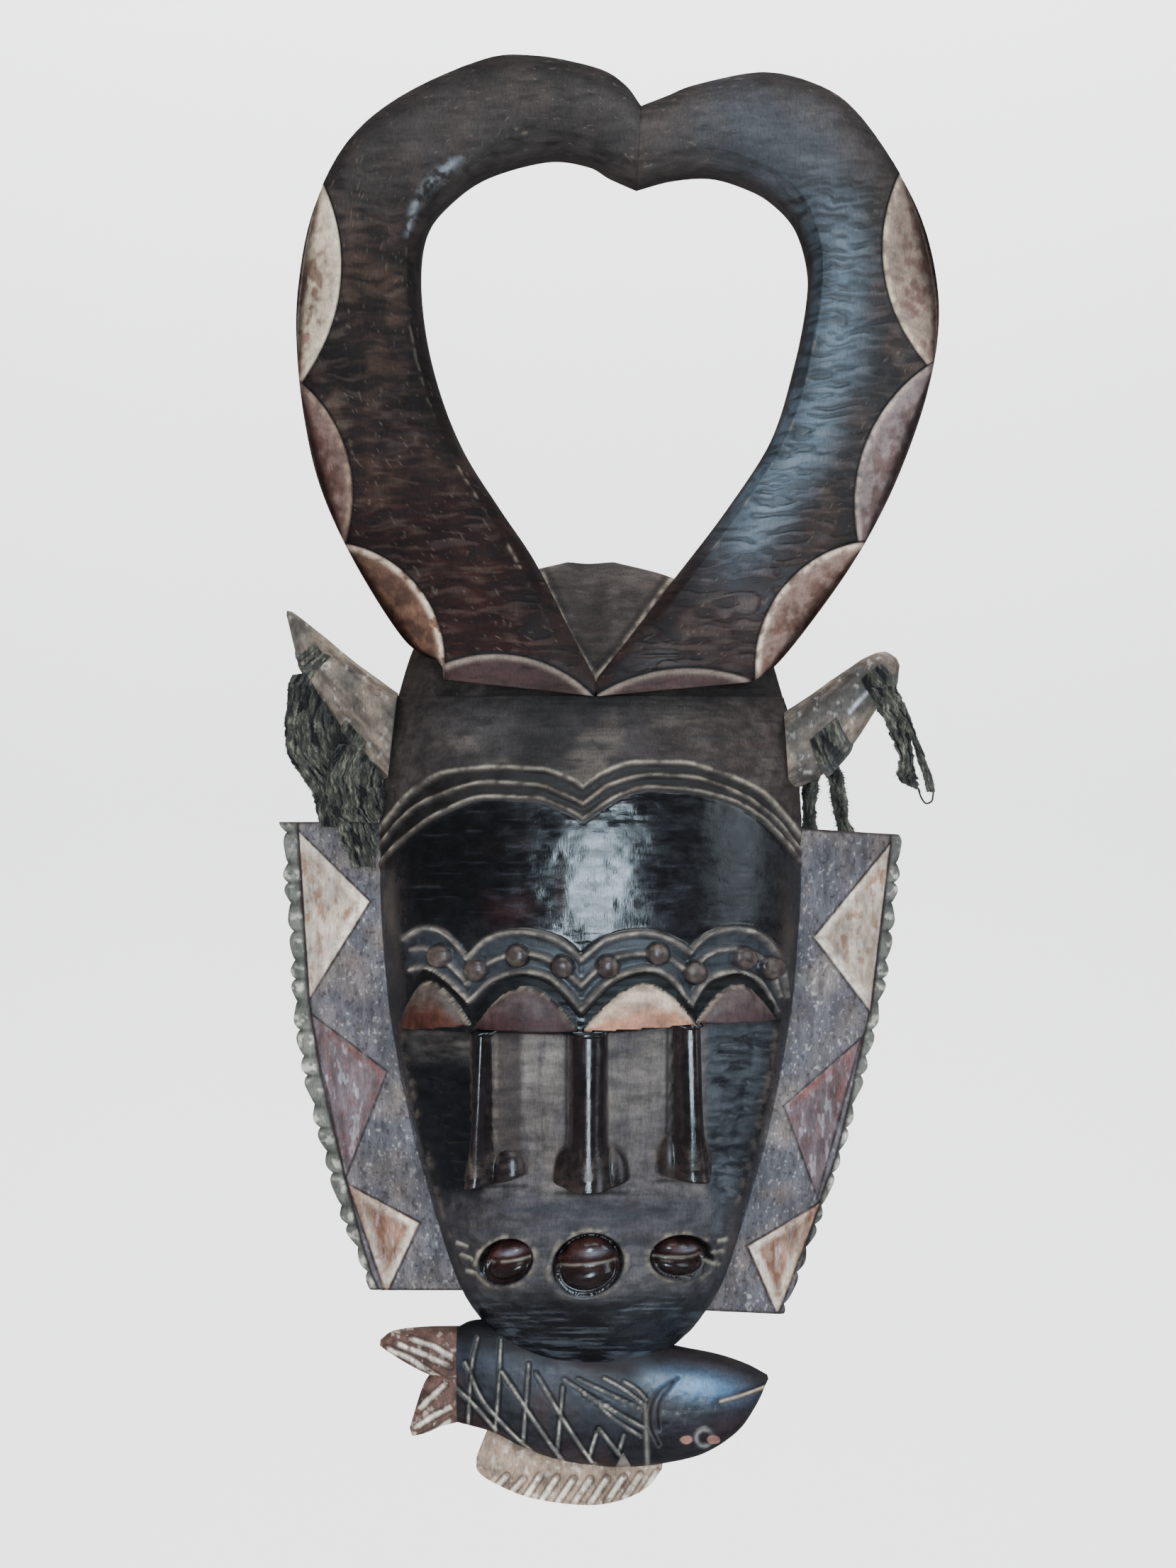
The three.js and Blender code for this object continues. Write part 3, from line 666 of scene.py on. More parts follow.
def carve_brows(c):
    """The brow band: dark pockets between raised lines, joined by round bosses."""
    x, z, lay, fine = c.x, c.z, c.lay, c.fine
    in_band = np.zeros(x.shape)
    for arch in BROWS:
        upper, lower = curve_through(arch[0]), curve_through(arch[2])
        start, stop = arch[0][0][0], arch[0][-1][0]
        across = step(start - 1, start + 1, x) * step(stop + 1, stop - 1, x)
        here = across * step(1.0, -0.5, z - upper(x)) * step(-1.0, 0.5, z - lower(x))
        in_band = np.maximum(in_band, here)
    lay(in_band, (42, 45, 51), 0.6)
    c.height -= 0.9 * in_band
    for arch in BROWS:
        for line in arch:
            d, _ = to_line(x, z, smooth_line(line, 24))
            c.height += 2.1 * peak(d, 1.25)
            lay(peak(d, 1.1) * 1.1, (92, 86, 82), 0.4)
            lay(peak(d, 0.6) * step(0.42, 0.66, fine) * 0.8, (150, 140, 128), 0.35)
    for bx, bz in BOSSES:
        r = np.hypot(x - bx, z - bz)
        dome = np.sqrt(np.clip(1 - (r / BOSS_RADIUS) ** 2, 0, 1))
        c.height = np.maximum(c.height, np.where(r < BOSS_RADIUS, 1.0 + 2.9 * dome, -9))
        lay(step(4.9, 4.1, r), (56, 46, 44), 0.72)
        lay(step(4.9, 4.1, r) * step(0.5, 0.7, fine) * 0.5, (96, 84, 76), 0.5)
        lay(peak(r - 4.8, 0.5) * 0.7, DEEP)
    return in_band


def carve_lids(c, in_band):
    """The bulging eyelids, each with a dark line over it."""
    x, z, lay, fine = c.x, c.z, c.lay, c.fine
    for left, crown, right, upper_paint, lower_paint in EYELIDS:
        middle_x, half = (left[0] + right[0]) / 2, (right[0] - left[0]) / 2
        floor = left[1] + (right[1] - left[1]) * (x - left[0]) / (right[0] - left[0])
        skew = np.clip((x - middle_x) / half, -1, 1)
        lean = (crown[0] - middle_x) / half
        share = (skew - lean) / np.where(skew > lean, 1 - lean, 1 + lean)
        side = np.clip(1 - np.abs(share) ** 1.85, 0, 1)
        arch = floor + (crown[1] - (left[1] + right[1]) / 2) * side
        lid = (x > left[0]) & (x < right[0])
        t = np.clip((z - floor) / np.maximum(arch - floor, 0.01), 0, 1)
        inside = lid & (z > floor) & (z < arch)
        bulge = 5.6 * np.sqrt(np.clip(1 - t**1.7, 0, 1)) * np.sqrt(side) + 0.8
        c.height = np.where(inside, bulge, c.height)
        tint = step(0.25, 0.8, t + 0.5 * (fine - 0.5))[..., None]
        colour = lower_paint * (1 - tint) + upper_paint * tint
        wear = 0.72 + 0.6 * noise(x, z, (1.6, 9), 41)
        lay(inside, colour * wear[..., None], 0.5)
        lay(peak(z - arch, 0.8) * lid * step(0.35, 0.6, fine) * 0.8, (150, 138, 122), 0.3)
        above = lid & (z > arch + 0.4) & (z < arch + 5.5) & (in_band < 0.5)
        lay(above * 0.9, DEEP, 0.5)


def cut_cheeks(c, lid_floor):
    """Below the lids the face is cut back, dull between the noses and dark beside them."""
    x, z, lay, patch = c.x, c.z, c.lay, c.patch
    half_width = HALF_WIDTH(z)
    inside_rim = step(half_width - 4, half_width - 10, np.abs(x + 0.5))
    below = step(0.2, -0.8, z - lid_floor) * inside_rim
    deep = 5.0 * below * step(-182, -158, z)
    c.height = np.where(z < lid_floor, c.height * (1 - below) - deep, c.height)
    # A painted shadow line just under the lids.
    lay(peak(z - lid_floor + 1.0, 1.1) * step(78, 75, np.abs(x)), DEEP, 0.3)
    dull = below * step(-236, -206, z) * step(0.2, -2.2, z - lid_floor)
    inner = dull * step(-50, -44, x) * step(54, 47, x)
    lay(inner, (86, 81, 81), 0.2)
    lay(inner * step(10, -20, x) * step(-150, -110, z) * 0.6, (118, 111, 106), 0.2)
    lay(inner * step(0.45, 0.7, patch) * 0.8, (98, 92, 88), 0.15)
    lay(inner * step(0.5, 0.7, noise(x, z, (1.8, 14), 51)) * 0.6, (70, 66, 68), 0.3)
    strokes = step(0.45, 0.65, noise(x, z, (6, 1.5), 61, 2)) * 0.6
    left, right = dull * step(-44, -50, x), dull * step(47, 54, x)
    lay(left, (16, 17, 21), 0.85)
    lay(left * strokes, (8, 9, 13), 0.9)
    lay(left * step(-120, -104, z) * 0.8, (76, 70, 66), 0.3)
    lay(right, (60, 64, 70), 0.55)
    lay(right * strokes * step(-100, -112, z), (22, 25, 31), 0.7)
    marks = step(0.42, 0.68, noise(x, z, (9, 2.2), 65, 2)) * dull * (step(-46, -54, x) + step(50, 58, x))
    c.height -= 0.9 * marks
    lay(marks * 0.5, (14, 16, 20), 0.85)
    lower = step(-166, -174, z) * step(-236, -200, z) * step(70, 52, np.abs(x))
    lay(lower * 0.75, (56, 56, 61), 0.3)
    lay(lower * step(-20, -48, x) * 0.6, (44, 38, 38), 0.3)
    lay(lower * step(0.52, 0.72, c.grain) * 0.6, (44, 44, 50), 0.5)


def carve_noses(c, lid_floor):
    x, z, lay, fine = c.x, c.z, c.lay, c.fine
    for ridge_x, half, left_foot, right_foot, base, wing_height, slope, flat in NOSES:
        flare = step(base + 24, base + 3, z)
        left_side = x < ridge_x
        reach = np.where(left_side, ridge_x - left_foot, right_foot - ridge_x)
        dx = np.abs(x - ridge_x)
        on = step(base - 0.9, base + 0.5, z - 0.014 * dx**2) * (z < lid_floor)
        half = half * (1 + 0.3 * flare)
        ridge = 1 - np.clip((dx / half - flat) / (1 - flat), 0, 1) ** 2
        skirt = np.clip(1 - dx / reach, 0, 1)
        wing_z = (z - base - wing_height * 0.55) / wing_height
        wing_z = np.where(wing_z > 0, wing_z * 0.75, wing_z)
        from_wing = wing_z**2 + ((dx - reach * 0.58) / (reach * 0.5)) ** 2
        wing = np.clip(1 - from_wing, 0, 1)
        tall = NOSE_TOP + (NOSE_FOOT - NOSE_TOP) * np.clip((z + 100) / (base + 100), 0, 1)
        square_on = 0.36 * np.sign(ridge_x + 5) * (x - ridge_x) * (abs(ridge_x) > 5)
        rise = np.maximum((tall + square_on) * ridge**0.55, slope * skirt)
        c.height += np.maximum(rise, 7.5 * np.sqrt(wing)) * on

        body = step(0.0, 0.2, ridge) * on
        lay(step(0.02, 0.2, skirt) * on * (slope > 1), (60, 52, 50), 0.4)
        lay(body, (24, 20, 21), 0.93)
        lay(body * step(0.52, 0.66, noise(x, z, (1.3, 34), 71)) * 0.5, (50, 38, 38), 0.8)
        alae = step(0.02, 0.25, wing) * on
        lay(alae, (30, 24, 24), 0.76)
        lay(alae * step(0.45, 0.75, fine) * 0.5, (54, 42, 38), 0.6)
        worn_over = peak(np.sqrt(from_wing) - 1.06, 0.14) * on * flare * (wing_z > 0)
        lay(worn_over * step(0.35, 0.7, fine) * 0.5, (98, 86, 76), 0.3)
        foot = peak(dx - half - 0.9, 0.9) * on * (1 - flare)
        lay(foot * (~left_side) * step(0.35, 0.6, fine) * 0.4, (118, 108, 96), 0.2)
        # Painted shadow along the left foot of each nose.
        lay(foot * left_side * 0.9, DEEP, 0.5)
        # Painted shadow just under the nose's base.
        lay(peak(z - base + 1.4, 1.0) * step(1.15, 0.95, dx / reach) * 0.7, DEEP, 0.3)
        c.smooth = np.maximum(c.smooth, np.maximum(body, alae))


def carve_mouths(c):
    """Round pits with two full lips in each, and the whiskers cut beside them."""
    x, z, lay, fine = c.x, c.z, c.lay, c.fine
    for cx, cz, a, b, rise in MOUTHS:
        s = (x - cx) / a
        t = (z - cz - rise * (x - cx)) / b
        q = s**2 + t**2
        rim = peak(np.sqrt(q) - 1.08, 0.1)
        c.height += 0.8 * rim
        lay(rim * step(0.35, 0.7, fine) * (0.45 + 0.35 * step(-0.4, 0.6, t)), (128, 118, 104), 0.2)
        c.height -= 6.0 * step(0, 0.35, np.clip(1 - q, 0, 1))
        # Painted shade fills the deep pit around the lips.
        lay(step(1.04, 0.94, q), (16, 13, 14), 0.75)
        lips = np.clip(1 - (s**2 + (t + 0.06) ** 2) / 0.8, 0, 1)
        c.height += 8.6 * np.sqrt(lips) - 3.6 * peak(t, 0.27) * step(0, 0.3, lips)
        on_lips = step(0, 0.12, lips)
        lay(on_lips, (40, 24, 23), 0.9)
        lay(on_lips * step(0.0, 0.35, t) * step(0.3, 0.7, fine) * 0.7, (70, 42, 38), 0.85)
        lay(on_lips * step(-0.1, -0.4, t) * 0.8, (28, 20, 20), 0.75)
        # A painted highlight on each upper lip.
        painted_lip_highlight = peak(np.hypot((s - 0.2) / 0.34, (t - 0.36) / 0.13), 1.0)
        lay(painted_lip_highlight * on_lips * 0.35, (150, 158, 172), 0.9)
        line = peak(t * b + 0.1, 0.5) * step(0.9, 0.75, np.abs(s)) * step(0.2, 0.5, fine)
        lay(line * 0.6, (140, 130, 118), 0.3)
        c.smooth = np.maximum(c.smooth, on_lips)
    for a, b in WHISKERS:
        d, along = to_line(x, z, [a, b])
        cut = peak(d, 0.75) * step(0, 0.15, along) * step(1, 0.8, along)
        c.height -= 0.7 * cut
        lay(cut, (128, 122, 112), 0.3)


def paint_jaw(c):
    """The jaw is polished, with thin horizontal strokes worn pale; the sides stay dark."""
    x, z, lay = c.x, c.z, c.lay
    jaw = step(-204, -216, z)
    lay(jaw * 0.9, (14, 16, 20), 0.82)
    brushed = step(0.5, 0.75, noise(x, z, (11, 0.9), 81)) * step(0.3, 0.6, noise(x, z, (30, 9), 85))
    lay(jaw * brushed * (0.35 + 0.4 * step(-10, 30, x)), (84, 90, 100), 0.5)
    lay(jaw * step(0, 30, x) * 0.5, (40, 44, 50), 0.6)
    lay(step(70, 86, np.abs(x)) * step(-20, -50, z) * 0.85, (34, 30, 30), 0.55)
    rim = peak(HALF_WIDTH(z) - 5.0 - np.abs(x + 0.5), 0.8) * step(-206, -190, z) * step(-98, -104, z)
    lay(rim * step(0.4, 0.7, c.fine) * 0.4, (96, 84, 74), 0.3)


def carve_face(x, z):
    """The carving of the face at places x, z."""
    patch, fine, grain = noise(x, z, 18, 11), noise(x, z, 3.5, 21), noise(x, z, (16, 1.6), 31)
    smooth = np.zeros(x.shape)
    c = Surface(x, z, BLACK, 0.86, patch=patch, fine=fine, grain=grain, smooth=smooth)
    shine = carve_forehead(c)
    in_band = carve_brows(c)
    carve_lids(c, in_band)
    lid_floor = curve_through([(-78, -101), (-5, -103), (42, -99), (76, -96.5)])(x)
    cut_cheeks(c, lid_floor)
    carve_noses(c, lid_floor)
    carve_mouths(c)
    paint_jaw(c)
    rough = 0.5 * (c.grain - 0.5) * (1 - 0.75 * shine) + 0.5 * (noise(x, z, 9, 91) - 0.5)
    c.height += rough * (1 - c.smooth)
    return c


def hollow_back(x, z):
    """How deep the inside of the shell is cut, from the flat back."""
    half = np.maximum(HALF_WIDTH(z) - WALL, 4)
    side = np.clip(np.abs(x) / half, 0, 1)
    ends = np.clip(np.minimum((z - HOLLOW_BOTTOM) / 30, (HOLLOW_TOP - z) / 30), 0, 1)
    dome = np.sqrt(np.clip(1 - (1 - ends) ** 2, 0, 1))
    cut = (MIDDLE_DEPTH(z) - WALL) * dome * np.sqrt(1 - side**SECTION_POWER) * 0.96
    gouges = 1.4 * (noise(x, z, (7, 22), 101, 2) - 0.5)
    return np.maximum(cut + gouges * step(1, 6, cut), 0)


def make_face():
    base = head_grid(CHIN, SPLIT, *FACE_MESH)
    carving = carve_face(*on_plane(base))
    fade = step(0, 7, -base[..., 1] - HEAD_EDGE)
    front = base + normals(base) * (carving.height * fade)[..., None]
    back = at_y(base, -hollow_back(base[..., 0], base[..., 2]))
    slab("face", front, back, carving, "face_wood", ["face_shell"])


def make_crown():
    base = head_grid(SPLIT, CROWN, *CROWN_MESH)
    x, z = on_plane(base)
    grain = noise(x, z, (14, 1.8), 111)
    patch = noise(x, z, 10, 112)
    paint = Paint(x.shape, (50, 44, 42), 0.3)
    lay = paint.lay
    lay(step(0.5, 0.7, grain), (46, 40, 38), 0.4)
    lay(step(0.5, 0.75, patch), (68, 62, 59), 0.2)
    lay(step(72, 90, z) * 0.6, (74, 68, 65), 0.3)
    # Painted shadow under the horns' base, low on the crown.
    lay(step(52, 36, z) * 0.6, DEEP, 0.3)
    height = 0.7 * (grain - 0.5)
    # A shallow valley runs down to where the horns meet, and a worn line edges each horn.
    valley, _ = to_line(x, z, [(-1, 96), (0, 70), (2, 43)])
    height -= 1.6 * peak(valley, 7)
    for line in ([(-23, 92), (-10, 62), (2, 43)], [(34, 84), (12, 54), (2, 43)]):
        d, _ = to_line(x, z, line)
        lay(peak(d - 1.2, 0.8) * step(0.3, 0.7, noise(x, z, (4, 5), 115)) * 0.7, (150, 138, 124), 0.3)
        lay(peak(d - 3.4, 1.4) * 0.5, DEEP, 0.4)
    lay(step(60, 76, np.abs(x)) * 0.8, (38, 32, 30), 0.5)
    fade = step(0, 6, -base[..., 1] - HEAD_EDGE)
    front = base + normals(base) * (height * fade)[..., None]
    slab("crown_cap", front, at_y(base, 0.0), paint, "face_wood", ["crown"])


# ------------------------------------------------------------------ horns
HORN_FRONT, HORN_THICK = 64.0, 34.0
HORN_LEAN = math.tan(math.radians(2.6))
HORN_SCALE = 1.013  # how large the horns' front looks on the plane y = -40
HORN_LENGTH = 520  # about how long a horn is along its curve
HORN_ROWS = 760
HORN_COLUMNS = (128, 14, 22)  # across the front, down each wall and across the back
HORNS = {
    "horn_left": {
        "outer": [
            (20.85, 279), (14, 288), (2, 295), (-24, 300), (-45, 298), (-78, 283), (-100, 264),
            (-114, 236), (-120, 205), (-120.5, 178), (-117, 148), (-110, 120), (-96, 90), (-76, 59),
            (-62, 50), (-60, 43),
        ],
        "inner": [
            (19.1, 248), (8, 253), (-1, 258), (-18, 260), (-43, 253), (-59, 241.5), (-68, 229),
            (-70.5, 210), (-68, 185), (-61.5, 160), (-51.5, 136), (-37, 113), (-23, 92), (-10, 66),
            (1.6, 43), (1.8, 36),
        ],
        "leaves": [
            ((-109, 245), (-103, 214), (-118.5, 168), "cream"),
            ((-118, 165), (-99.5, 133), (-101, 101), "brown"),
            ((-98, 99), (-69, 79), (-60, 51), "orange"),
        ],
        "base": ((-60, 50), (-38, 54), (0, 38)),
    },
    "horn_right": {
        "outer": [
            (20.85, 279), (31, 283), (44, 288), (71, 293), (93, 288), (109, 277), (126, 253),
            (137, 230), (142.5, 205), (142.5, 183), (138, 160), (130, 136), (120, 113), (107, 90),
            (90, 66), (76, 49), (66, 42),
        ],
        "inner": [
            (19.1, 248), (34, 252), (50, 253), (64, 249), (75, 243), (85, 232), (90, 216), (90, 201),
            (85, 175), (75, 143), (56, 113), (34, 84), (16, 60), (2.8, 43), (2.6, 36),
        ],
        "leaves": [
            ((127, 251), (121, 215), (139, 174), "tan"),
            ((139, 173), (114, 142), (110, 103), "mauve"),
            ((110, 100), (79, 81), (68, 43), "rust"),
        ],
        "base": ((4, 38), (36, 48), (67, 43)),
    },
}
LEAF_PAINT = {
    "cream": (srgb(198, 180, 158), srgb(120, 92, 80), srgb(214, 200, 178)),
    "tan": (srgb(150, 130, 116), srgb(112, 86, 78), srgb(206, 186, 160)),
    "brown": (srgb(98, 78, 72), srgb(76, 50, 45), srgb(130, 108, 94)),
    "mauve": (srgb(122, 107, 105), srgb(94, 72, 68), srgb(164, 146, 134)),
    "orange": (srgb(96, 68, 54), srgb(62, 42, 36), srgb(200, 178, 156)),
    "rust": (srgb(130, 106, 96), srgb(92, 64, 54), srgb(206, 186, 164)),
}


def horn_section():
    """Where a horn's columns lie. v is 0 at its outer edge and 1 at its inner edge, down is 0 on its
    front and 1 on its back. They run across the front, down the inner wall and back round."""
    across_front, down_wall, across_back = HORN_COLUMNS
    wall = np.linspace(0, 1, down_wall)[1:-1]
    front, back = np.linspace(0, 1, across_front), np.linspace(1, 0, across_back)
    v = np.concatenate((front, 1 + 0 * wall, back, 0 * wall))
    down = np.concatenate((0 * front, wall, 1 + 0 * back, wall[::-1]))
    return v[None, :], down[None, :]


def horn_surface(spec):
    outer, inner = smooth_line(spec["outer"], HORN_ROWS), smooth_line(spec["inner"], HORN_ROWS)
    v, down = horn_section()
    plan = outer[:, None, :] + (inner - outer)[:, None, :] * v[..., None]
    width = np.linalg.norm(inner - outer, axis=1)[:, None]
    run = np.linspace(0, 1, HORN_ROWS)[:, None] * HORN_LENGTH + 0 * v
    x, z = plan[..., 0] * HORN_SCALE, plan[..., 1] * HORN_SCALE
    return Surface(
        x, z, (42, 36, 35), 0.42, plan=plan, from_outer=v * width, from_inner=(1 - v) * width, run=run,
        down=down, on_front=(down == 0) * 1.0, opening=step(60, 96, plan[..., 1]),
        bevel=np.clip(1 - (1 - v) * width / 7.5, 0, 1), fine=noise(x, z, 3.2, 131),
    )


def horn_depths(h):
    """The y of a horn's front, gently crowned, rolled over at the outer edge and bevelled to the
    opening, and the y of its back, which ends inside the head."""
    x, z = h.plan[..., 0], h.plan[..., 1]
    drop = 5.0 * np.clip(1 - h.from_outer / 9, 0, 1) ** 2.2
    drop = drop + 2.4 * np.clip(1 - h.from_outer / 26, 0, 1) ** 2
    drop += (13 * h.bevel**1.25) * h.opening + 2 * np.clip(1 - h.from_inner / 22, 0, 1) ** 2
    drop += 1.5 * (1 - h.opening) * h.bevel**2
    lean = (z - SPLIT) * HORN_LEAN
    y_back = -(HORN_FRONT - HORN_THICK - lean)
    half = HALF_WIDTH(z)
    head = -head_depth(np.clip(x, -half, half), np.minimum(z, CROWN))
    on_head = (np.abs(x) < half) & (z < CROWN)
    return -(HORN_FRONT - lean) + drop, np.where(on_head, np.minimum(y_back, head + 6), y_back)


def paint_horn(h, right):
    """The horn's stain and its fine tool ripples, with a painted blue sheen on the right horn, a painted
    highlight near the left horn's inner edge and painted shade along both edges.
    """
    px, pz, lay, from_outer, from_inner = h.x, h.z, h.lay, h.from_outer, h.from_inner
    x, z = h.plan[..., 0], h.plan[..., 1]
    # A painted blue sheen over the inner part of the right horn.
    painted_sheen = step(30, 70, x) * step(56, 104, z) * step(50, 22, from_inner)
    lay(painted_sheen, (68, 81, 93), 0.6)
    lay(step(40, -30, x) * 0.8, (36, 27, 24), 0.22)
    patch = noise(px, pz, 26, 121)
    bend = 3.5 * (noise(from_outer, h.run, 17, 145, 2) - 0.5)
    ripple = noise(px + bend, pz + 1.3 * bend, (8, 1.8), 141 + right, 2)
    ripple = 0.5 + (ripple - 0.5) * (0.25 + 0.75 * step(262, 225, z)) * (0.35 + 1.1 * patch)
    pale_streak = noise(from_outer + 3 * bend, h.run, (0.9, 5), 151, 2)
    # Brighter blue patches in the painted sheen.
    lay(step(0.5, 0.7, patch) * 0.7 * painted_sheen, (74, 88, 102), 0.5)
    lay(step(0.45, 0.7, noise(px, pz, (9, 13), 125)) * 0.6 * (1 - painted_sheen), (66, 50, 42))
    lay(step(205, 265, z) * 0.65, (72, 66, 64) if right else (64, 60, 59), 0.28)
    foot = step(150, 60, z) * (1 - painted_sheen)
    lay(foot * 0.75, (42, 24, 22), 0.4)
    lay(foot * step(0.5, 0.7, patch) * 0.5, (48, 30, 28), 0.6)
    lay(step(0, -40, x) * step(180, 80, z) * 0.6, (32, 13, 11), 0.1)
    lay(step(0.50, 0.66, ripple) * 0.6, (20, 17, 18))
    pale = step(0.46, 0.26, ripple) * step(6, 12, from_inner)
    lay(pale * 0.12, (104, 94, 86))
    # Pale ripples, tinted blue where the sheen is painted.
    lay(pale * painted_sheen * 0.14, (130, 142, 154), 0.6)
    # A painted highlight along the left horn's inner edge near its top.
    painted_glint = peak(from_inner - 8.5, 2.2) * step(218, 236, z) * step(262, 250, z) * step(-40, -60, x)
    lay(painted_glint * step(0.35, 0.6, h.fine) * 0.6, (160, 172, 184), 0.6)
    # Painted shade along the outer and inner edges, so the horn looks rounded.
    lay(step(13, 1, from_outer) * 0.55, DEEP)
    lay(step(20, 8, from_inner) * 0.35, DEEP)
    lay(step(0.78, 0.86, pale_streak) * 0.3, (110, 100, 90), 0.3)
    lay(step(0.5, 1, h.bevel) * h.opening * 0.85, (40, 34, 32), 0.35)
    worn_edge = peak(from_inner - 8.2, 0.8) * h.opening * step(0.5, 0.7, noise(px, pz, (9, 9), 135))
    lay(worn_edge * step(0.4, 0.6, h.fine) * 0.6, (120, 108, 96), 0.3)
    lay(h.down * 0.9, (44, 37, 34), 0.3)
    h.cut = 0.55 * step(0.40, 0.70, ripple) + 0.7 * (noise(px, pz, 14, 161) - 0.5)


def inside_arc(h, arc):
    """How far inside the circle through the three points of an arc each place is."""
    (cx, cz), radius = circle_through(*arc)
    return radius - np.hypot(h.x - cx, h.z - cz)


def scoop_leaf(h, a, m, b, kind):
    """One of the painted leaves scooped out of the horn's outer edge, from a past m to b."""
    floor, shade, rim = LEAF_PAINT[kind]
    lay, fine = h.lay, h.fine
    into = inside_arc(h, (a, m, b))
    reach = math.dist(a, b) / 2
    from_middle = np.hypot(h.x - (a[0] + b[0]) / 2, h.z - (a[1] + b[1]) / 2)
    near = step(reach * 1.35, reach * 1.02, from_middle)
    lens = step(-0.2, 0.5, into) * near * h.on_front
    scoop = (1.2 + 0.62 * np.clip(into, 0, 30)) * lens
    h.cut = np.where(lens > 0, h.cut * (1 - lens) - scoop, h.cut)
    along = ((h.x - a[0]) * (b[0] - a[0]) + (h.z - a[1]) * (b[1] - a[1])) / (2 * reach) ** 2
    lay(lens, floor, 0.4)
    mottle = step(0.4, 0.62, fine * 0.55 + 0.45 * noise(h.x, h.z, (2.5, 7), 171))
    lay(lens * mottle * step(0.1, 0.8, 0.5 * step(0, 10, into) + 0.5 * along) * 0.9, shade, 0.4)
    lay(lens * peak(into - 1.3, 1.3) * step(0.3, 0.55, fine), rim, 0.3)
    lay(peak(into + 0.25, 0.5) * near * h.on_front, DEEP, 0.4)
    # Painted shade where the leaf reaches the horn's rolled outer edge.
    lay(lens * step(5, 1, h.from_outer) * 0.6, shade * 0.6, 0.4)


def scoop_foot(h, arc, colour):
    """The low dark leaf at the horn's foot."""
    into = inside_arc(h, arc)
    from_middle = np.abs(h.x - 2)
    leaf = step(-0.2, 0.4, into) * step(62, 52, h.z) * h.on_front * (h.z < 58) * step(66, 60, from_middle)
    h.lay(leaf, colour, 0.4)
    h.lay(leaf * peak(into - 1.2, 1.3), (118, 104, 96), 0.3)
    above = peak(into + 0.5, 0.7) * step(62, 56, h.z)
    h.lay(above * step(64, 58, from_middle) * h.on_front, DEEP, 0.4)
    h.cut = h.cut - leaf * (0.8 + 0.28 * np.clip(into, 0, 12))


def make_horn(name):
    spec = HORNS[name]
    right = name == "horn_right"
    h = horn_surface(spec)
    paint_horn(h, right)
    for leaf in spec["leaves"]:
        scoop_leaf(h, *leaf)
    scoop_foot(h, spec["base"], (64, 46, 45) if right else (54, 36, 35))
    y_front, y_back = horn_depths(h)
    y = np.where(h.down == 0, y_front - h.cut, y_front + (y_back - y_front) * h.down)
    rings = np.stack([h.plan[..., 0], np.minimum(y, y_back), h.plan[..., 1]], axis=-1)
    ring_body(name + "_carved", rings, h, "horn_wood", [name])


# ------------------------------------------------------------------ wings
WING_FRONT, WING_BACK = 24.0, 11.0
WING_LENGTH = 195
WING_INSET, WING_ROOT = 9, 20  # how far the root is inside the head's side, and its least x
WINGS = {
    "wing_left": {
        "side": -1,
        "top": (-15.6, -15.6),
        "bottom": (-211, -211),
        "edge": [
            (-15.6, 130.2), (-24, 128.2), (-36, 128.4), (-60, 126), (-92, 124.5), (-115, 121.4),
            (-137, 116.4), (-159, 110.4), (-180, 104.6), (-200, 96.2), (-211, 92.4),
        ],
        "line": [
            (-15.6, 120.8), (-52, 118.6), (-91.5, 115.6), (-119, 111.2), (-164.6, 100.4),
            (-201, 90.6), (-211, 86),
        ],
        "triangles": [
            ([(-120.2, -19.5), (-91, -48.2), (-115.8, -88)], "cream"),
            ([(-115, -95), (-84, -118.4), (-101, -161.5)], "brown"),
            ([(-99.8, -165), (-70.4, -180.7), (-84.3, -210.5)], "pale"),
        ],
    },
    "wing_right": {
        "side": 1,
        "top": (-17.6, -20.8),
        "bottom": (-219, -221),
        "edge": [
            (-17, 130), (-28, 130), (-45, 128.3), (-76, 124.8), (-105, 118.9), (-138, 110.2),
            (-173, 99.4), (-200, 89.4), (-221, 81),
        ],
        "line": [
            (-17, 124.3), (-27, 123.3), (-93, 115.3), (-106, 112.4), (-153, 101.4), (-173, 94.3),
            (-214, 82.0), (-221, 78),
        ],
        "triangles": [
            ([(123.6, -24.5), (92.2, -63), (115.4, -93.5)], "cream"),
            ([(111.4, -105), (80, -132.5), (93.6, -169.5)], "brown"),
            ([(94.8, -172.5), (64.8, -190.3), (77.2, -219)], "pale"),
        ],
    },
}
CUT_PAINT = {
    "cream": (srgb(184, 167, 152), srgb(140, 106, 86), srgb(234, 222, 204)),
    "brown": (srgb(100, 89, 92), srgb(98, 76, 76), srgb(116, 74, 68)),
    "pale": (srgb(156, 124, 107), srgb(124, 84, 68), srgb(240, 228, 210)),
}
SCALLOP_PITCH, SCALLOP_BITE = 10.2, 2.1
WING_SCALE = 0.9893  # how large the wings' front looks on the plane y = -40
WING_MESH = (640, 170)


